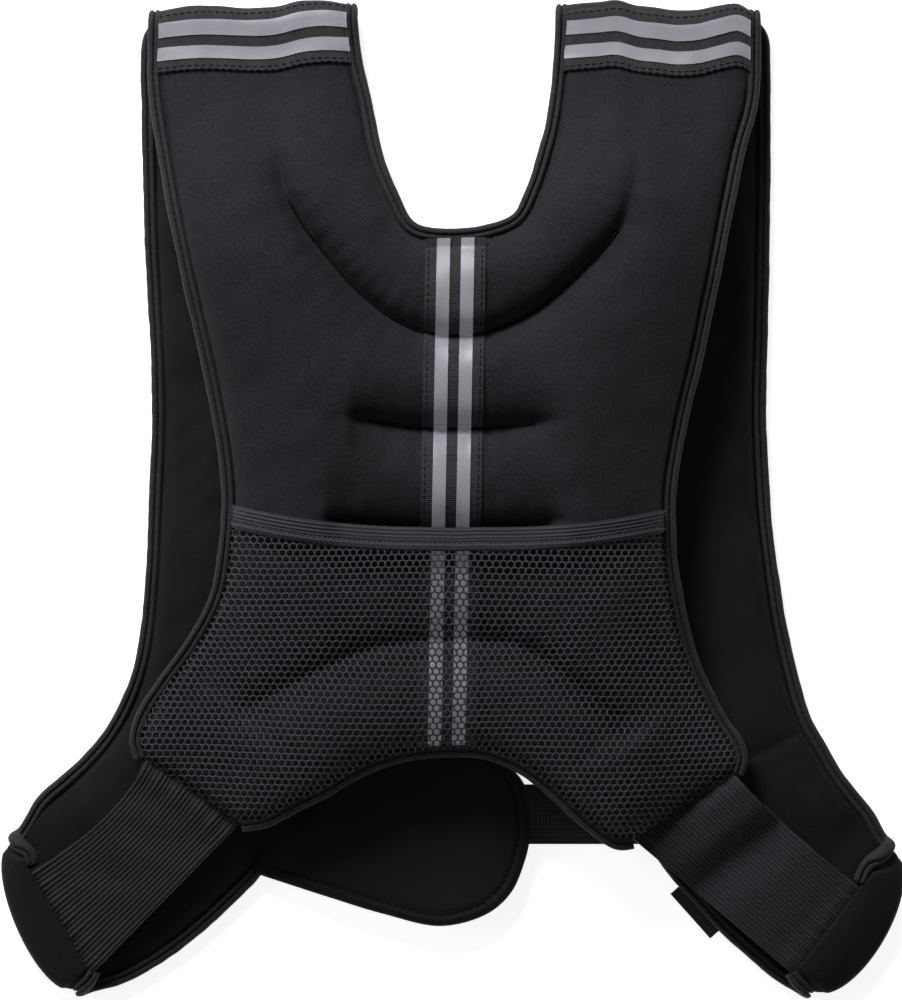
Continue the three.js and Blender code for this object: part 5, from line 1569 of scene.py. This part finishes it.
class VEST_OT_side_elastic(Piece, bpy.types.Operator):
    """Ribbed elastic between each wing and the front piece's turned end"""

    bl_idname = "vest.side_elastic"
    bl_label = "Side elastic"

    def execute(self, context):
        period = sizes().elastic_rib / MM
        share = np.linspace(0, 1, 280)[None, :, None]
        way = np.linspace(0, 1, 48)[:, None, None]
        run = way[..., 0]
        for side, name in SIDES.items():
            wing = HALVES[side]["wing"]
            tip, corner = wing[0], wing[-1]
            level = float(panel_surface(tip[None], quilted=False)[0][0])
            a, b = place([ENDS[side][:2], ENDS[side][2:]])
            under = unit(a + b - tip - corner) * (2 * CLEARANCE - 1.5)
            waist = 1 - BAND_WAIST[side] * np.sin(math.pi * way ** 0.8)
            held = 1 - (1 - share) * waist
            start = mix(tip, corner, held) + under
            end = mix(a, b, mix(BAND_INSET, BAND_REACH, held)) - under
            plan = mix(start, end, way)
            arch = through(np.column_stack([np.linspace(0, 64, 9), BAND_ARCH[side]]), 1.0)
            arch = np.interp(run * 64, arch[:, 0], arch[:, 1])
            width = float(np.linalg.norm(tip - corner))
            length = float(np.linalg.norm((a + b - tip - corner) / 2))
            v = share[..., 0] * width
            near = run * length
            far = length - near
            gather = (0.5 * np.exp(-near / 9) * np.sin(TURN * v / 9.1 + 1.4 * np.sin(v / 7))
                      + 0.35 * np.exp(-far / 7) * np.sin(TURN * v / 7.3 + 1.1 * np.sin(v / 5))
                      + 1.3 * bell(near - 6, 5) + bell(far - 4, 4))
            soft = 0.5 * ripple(plan, 24, 81 + side) * np.sin(math.pi * run)
            height = mix(level, CURL_TOP, run) + arch * ELASTIC_ARCH + gather + soft
            upper, lower, normal = sheet_skins(lifted(plan, height), ELASTIC_THICKNESS)
            rise = 0.27 + 0.2 * np.exp(-near / 7) + 0.16 * np.exp(-far / 6)
            fine = RIB_FINENESS[side]
            ribs = (rise * fine ** 1.6 * np.cos(TURN * v / (period * fine)))[..., None] * normal
            build = Build()
            build.slab(upper + ribs, lower - ribs, uv=np.stack(np.broadcast_arrays(near, v), -1))
            piece = build.piece(f"side_elastic_{name}", finish("elastic"), "elastic",
                                [f"elastic_band_{name}"], sharp=60)
        return {"FINISHED"}


class VEST_OT_flap(Piece, bpy.types.Operator):
    """Stitched flap over the buckle"""

    bl_idname = "vest.flap"
    bl_label = "Flap"

    def execute(self, context):
        flap = np.array(FLAP)
        seam = WEBBING_THICKNESS + CLEARANCE * 3 + FLAP_THICKNESS / 2
        high = BUCKLE_THICKNESS + CLEARANCE * 2 + FLAP_THICKNESS / 2
        level = mix(seam, high, parts(flap[:, 4]))
        rows = np.stack([lifted(place(flap[:, :2]), level), lifted(place(flap[:, 2:4]), level)], 1)
        rows = through(rows, 1.2)
        middle = mix(rows[:, :1], rows[:, 1:], np.linspace(0, 1, 70)[None, :, None])
        flat = middle.reshape(-1, 3)
        shape = middle.shape[:2]
        outline = np.concatenate([rows[:, 0], rows[-1:, 1], rows[::-1, 1], rows[:1, 0]])
        gap, crease, roll = (nearest(line, flat)[0].reshape(shape)
                             for line in (outline, place(FLAP_CREASE), place(FLAP_ROLL)))
        half = FLAP_THICKNESS / 2 * (0.35 + 0.65 * crown(gap / 3.2))
        groove = 0.75 * bell(gap - FLAP_SEAM, 0.8) - 0.35 * bell(gap - 2.6, 1.4)
        fold = (0.8 * bell(crease, 6.0) - 1.5 * bell(roll, 6.5)) * smooth(0, 6, gap)
        soft = 0.3 * ripple(middle, 26, 91) * smooth(0, 8, gap)
        top = middle + UP * (half - groove - fold + soft)[..., None]
        build = Build()
        build.slab(top, middle - UP * half[..., None])
        build.piece("buckle_flap", finish("lining"), "neoprene", ["closure_flap"])

        faces = quads_of(np.arange(gap.size).reshape(shape))
        tree = BVHTree.FromPolygons(top.reshape(-1, 3).tolist(), faces.tolist())
        hits = [tree.ray_cast((x, y, ABOVE), DOWN)[0] for x, y in self.inset_line(rows)]
        line = np.array([list(hit) for hit in hits if hit is not None])
        threads = Build()
        add_stitches(threads, line, UP, pitch=3.2, thickness=0.8, lift=0.1)
        threads.piece("flap_stitches", finish("thread"), "neoprene")
        return {"FINISHED"}

    def inset_line(self, rows):
        """The flap's outline from seam to seam, drawn in to its stitches."""
        line = np.concatenate([rows[:, 0], rows[::-1, 1]])[:, :2]
        run = Line(line[np.diff(run_of(line), prepend=-1) > 0.1])
        shares = np.linspace(0.0, 1.0, 260)
        return run.at(shares) - sideways(run.along(shares, 6.0)) * FLAP_SEAM


class VEST_OT_belt(Piece, bpy.types.Operator):
    """Front strap, its short other side, the tab of strap and the hidden buckle"""

    bl_idname = "vest.belt"
    bl_label = "Strap and buckle"

    def strap(self, name, corners, replaces, rests_on=(), on_it=()):
        """A woven strap between four corners: upper and lower at one end, then at the other."""
        corners = np.asarray(corners, float)
        length = float(np.linalg.norm(corners[2:].mean(0) - corners[:2].mean(0)))
        width = float(np.linalg.norm(corners[1] - corners[0]))
        u = np.linspace(0, 1, max(8, round(length / CORD_STEP)))[None, :, None]
        v = np.linspace(0, 1, max(8, round(width / CORD_STEP)))[:, None, None]
        plan = mix(mix(corners[0], corners[2], u), mix(corners[1], corners[3], u), v)
        middle = lifted(plan, CLEARANCE + WEBBING_THICKNESS / 2)
        along, across = u[..., 0] * length, v[..., 0] * width
        weave = np.cos(TURN * across / (sizes().weave / MM)) * (np.cos(TURN * along / 3.0) + 0.6)
        half = WEBBING_THICKNESS / 2 - 0.15
        upper = middle + UP * (half + 0.13 * weave)[..., None]
        lower = middle - UP * (half + 0.1 * weave)[..., None]
        build = Build()
        build.slab(upper, lower, uv=np.stack(np.broadcast_arrays(along, across), -1))
        piece = build.piece(name, finish("webbing"), "webbing", replaces, sharp=60)
        return piece

    def execute(self, context):
        x, y = DRAWN_BUCKLE
        reach = BUCKLE_LENGTH / 2 + CLEARANCE
        heights = [y + WEBBING_WIDTH / 2, y - WEBBING_WIDTH / 2]
        ends = {}
        for side, rows in FRONT_ROWS.items():
            points = place([row[2:4] for row in rows])[::-1]
            xs = np.interp(heights, points[:, 1], points[:, 0]) - side * STRAP_SPACE
            ends[side] = list(zip(xs, heights))
        self.strap("belt_short_strap", ends[LEFT] + [(x - reach, h) for h in heights],
                   ["belt_stub"], ["front_padding_left"])
        rows = FRONT_ROWS[RIGHT]
        start, end = place([rows[TAB_ROW][2:4], rows[TAB_ROW + 2][2:4]])
        along = unit(end - start)
        out = np.array([along[1], -along[0]])
        first = start + along * TAB_FROM * WEBBING_WIDTH - out
        tab_ends = np.array([first, first + along * WEBBING_WIDTH])
        tab_tips = tab_ends + out * (TAB_LENGTH + TAB_TUCK)
        tab = self.strap("strap_end_tab", [*tab_ends, *tab_tips], ["strap_tab"])
        self.strap("belt_strap", [(x + reach, h) for h in heights] + ends[RIGHT],
                   ["belt_webbing"], ["front_padding_right"], [tab])
        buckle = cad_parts["belt_buckle"]
        buckle.data.materials.clear()
        buckle.data.materials.append(finish("plastic"))
        return {"FINISHED"}


class VEST_OT_seams(Piece, bpy.types.Operator):
    """Stitching in the quilting seams of the back, over a thick dark cord that also stands in for the shade
    in the seams' creases
    """

    bl_idname = "vest.seams"
    bl_label = "Quilting stitches"

    def execute(self, context):
        threads = Build()
        for line, depths in zip(SEAMS, SEAM_DEPTHS):
            run = through(line[depths > SEWN_DEPTH], 1.0)
            run = lifted(run, panel_top(run))
            # The cord is partly the real thread and partly a dark line standing in for the shade deep in
            # the seam's crease.
            self.cord(threads, run + UP * 0.9)
            add_stitches(threads, run, UP, lift=1.2)
        threads.piece("quilting_stitches_and_crease_shade", finish("thread"), "neoprene")
        return {"FINISHED"}

    def cord(self, threads, line):
        """The sunk thread that the stitches lock into, drawn as a thick unbroken dark tube: partly thread,
        partly painted shade along the seam's crease.
        """
        along = unit(np.gradient(line, axis=0))
        side = unit(np.cross(UP, along))
        turns = np.arange(6) * math.pi / 3
        number = np.arange(len(line))
        reach = CORD_RADIUS * smooth(0, 6, np.minimum(number, number[::-1]))
        rings = line[:, None] + (reach + 0.02)[:, None, None] * (
            side[:, None] * np.cos(turns)[None, :, None] + UP * np.sin(turns)[None, :, None])
        threads.tube(rings)


CAMERA_HEIGHT = 2.6
MIDDLE_HEIGHT = 0.016  # the level where the view is as long as the vest
SENSOR = 36


class VEST_OT_stage(Piece, bpy.types.Operator):
    """Pale floor, soft light and the camera straight above"""

    bl_idname = "vest.stage"
    bl_label = "Stage"

    def execute(self, context):
        bpy.ops.object.select_all(action="DESELECT")
        bpy.ops.mesh.primitive_plane_add(size=6, location=(0, 0, -0.0004))
        floor = context.active_object
        floor.name = "studio_floor"
        floor.data.materials.append(finish("floor"))

        world = bpy.data.worlds.new("studio")
        context.scene.world = world
        world.use_nodes = True
        background = world.node_tree.nodes["Background"]
        background.inputs["Color"].default_value = (0.97, 0.97, 1.0, 1)
        background.inputs["Strength"].default_value = 0.05

        self.light("key", (-0.52, 1.3, 0.92), 0.6, 33, (1.0, 0.98, 1.0))
        self.light("side", (-1.7, 0.1, 1.0), 0.8, 5, (1.0, 0.98, 1.0))
        self.light("fill", (0.5, -0.5, 2.0), 1.2, 6, (0.98, 0.97, 1.0))
        context.scene.view_settings.view_transform = "Standard"

        camera = bpy.data.objects.new("camera", bpy.data.cameras.new("camera"))
        context.scene.collection.objects.link(camera)
        camera.location = (SHIFT[0] * MM, SHIFT[1] * MM, CAMERA_HEIGHT)
        camera.data.sensor_width = SENSOR
        camera.data.lens = SENSOR * (CAMERA_HEIGHT - MIDDLE_HEIGHT) / (LENGTH * MM)
        camera.data.clip_end = 20
        context.scene.camera = camera
        return {"FINISHED"}

    def light(self, name, place_at, size, power, colour):
        """A square soft light that faces the vest."""
        data = bpy.data.lights.new(name, "AREA")
        data.shape = "SQUARE"
        data.size = size
        data.energy = power
        data.color = colour
        made = bpy.data.objects.new(name, data)
        bpy.context.scene.collection.objects.link(made)
        made.location = place_at
        made.rotation_euler = (-Vector(place_at)).to_track_quat("-Z", "Y").to_euler()


class VEST_PT_panel(bpy.types.Panel):
    """The vest's pieces, sizes and colours"""

    bl_label = "Weighted vest"
    bl_idname = "VEST_PT_panel"
    bl_space_type = "VIEW_3D"
    bl_region_type = "UI"
    bl_category = "Vest"

    def draw(self, context):
        column = self.layout.column()
        for kind in OPERATORS:
            column.operator(kind.bl_idname)
        for values in (context.scene.vest_sizes, context.scene.vest_colours):
            for key in values.bl_rna.properties.keys():
                if key not in ("rna_type", "name"):
                    column.prop(values, key)


OPERATORS = (
    VEST_OT_stage, VEST_OT_back_panel, VEST_OT_front_pieces, VEST_OT_bindings, VEST_OT_tapes,
    VEST_OT_pocket, VEST_OT_side_elastic, VEST_OT_flap, VEST_OT_belt, VEST_OT_seams,
)
CLASSES = (VestSizes, VestColours, *OPERATORS, VEST_PT_panel)


def register():
    for kind in CLASSES:
        bpy.utils.register_class(kind)
    bpy.types.Scene.vest_sizes = bpy.props.PointerProperty(type=VestSizes)
    bpy.types.Scene.vest_colours = bpy.props.PointerProperty(type=VestColours)


def unregister():
    del bpy.types.Scene.vest_colours
    del bpy.types.Scene.vest_sizes
    for kind in reversed(CLASSES):
        bpy.utils.unregister_class(kind)


def main():
    register()
    bpy.ops.vest.stage()
    bpy.ops.vest.back_panel()
    bpy.ops.vest.front_pieces()
    bpy.ops.vest.bindings()
    bpy.ops.vest.tapes()
    bpy.ops.vest.pocket()
    bpy.ops.vest.side_elastic()
    bpy.ops.vest.flap()
    bpy.ops.vest.belt()
    bpy.ops.vest.seams()


if __name__ == "__main__":
    main()
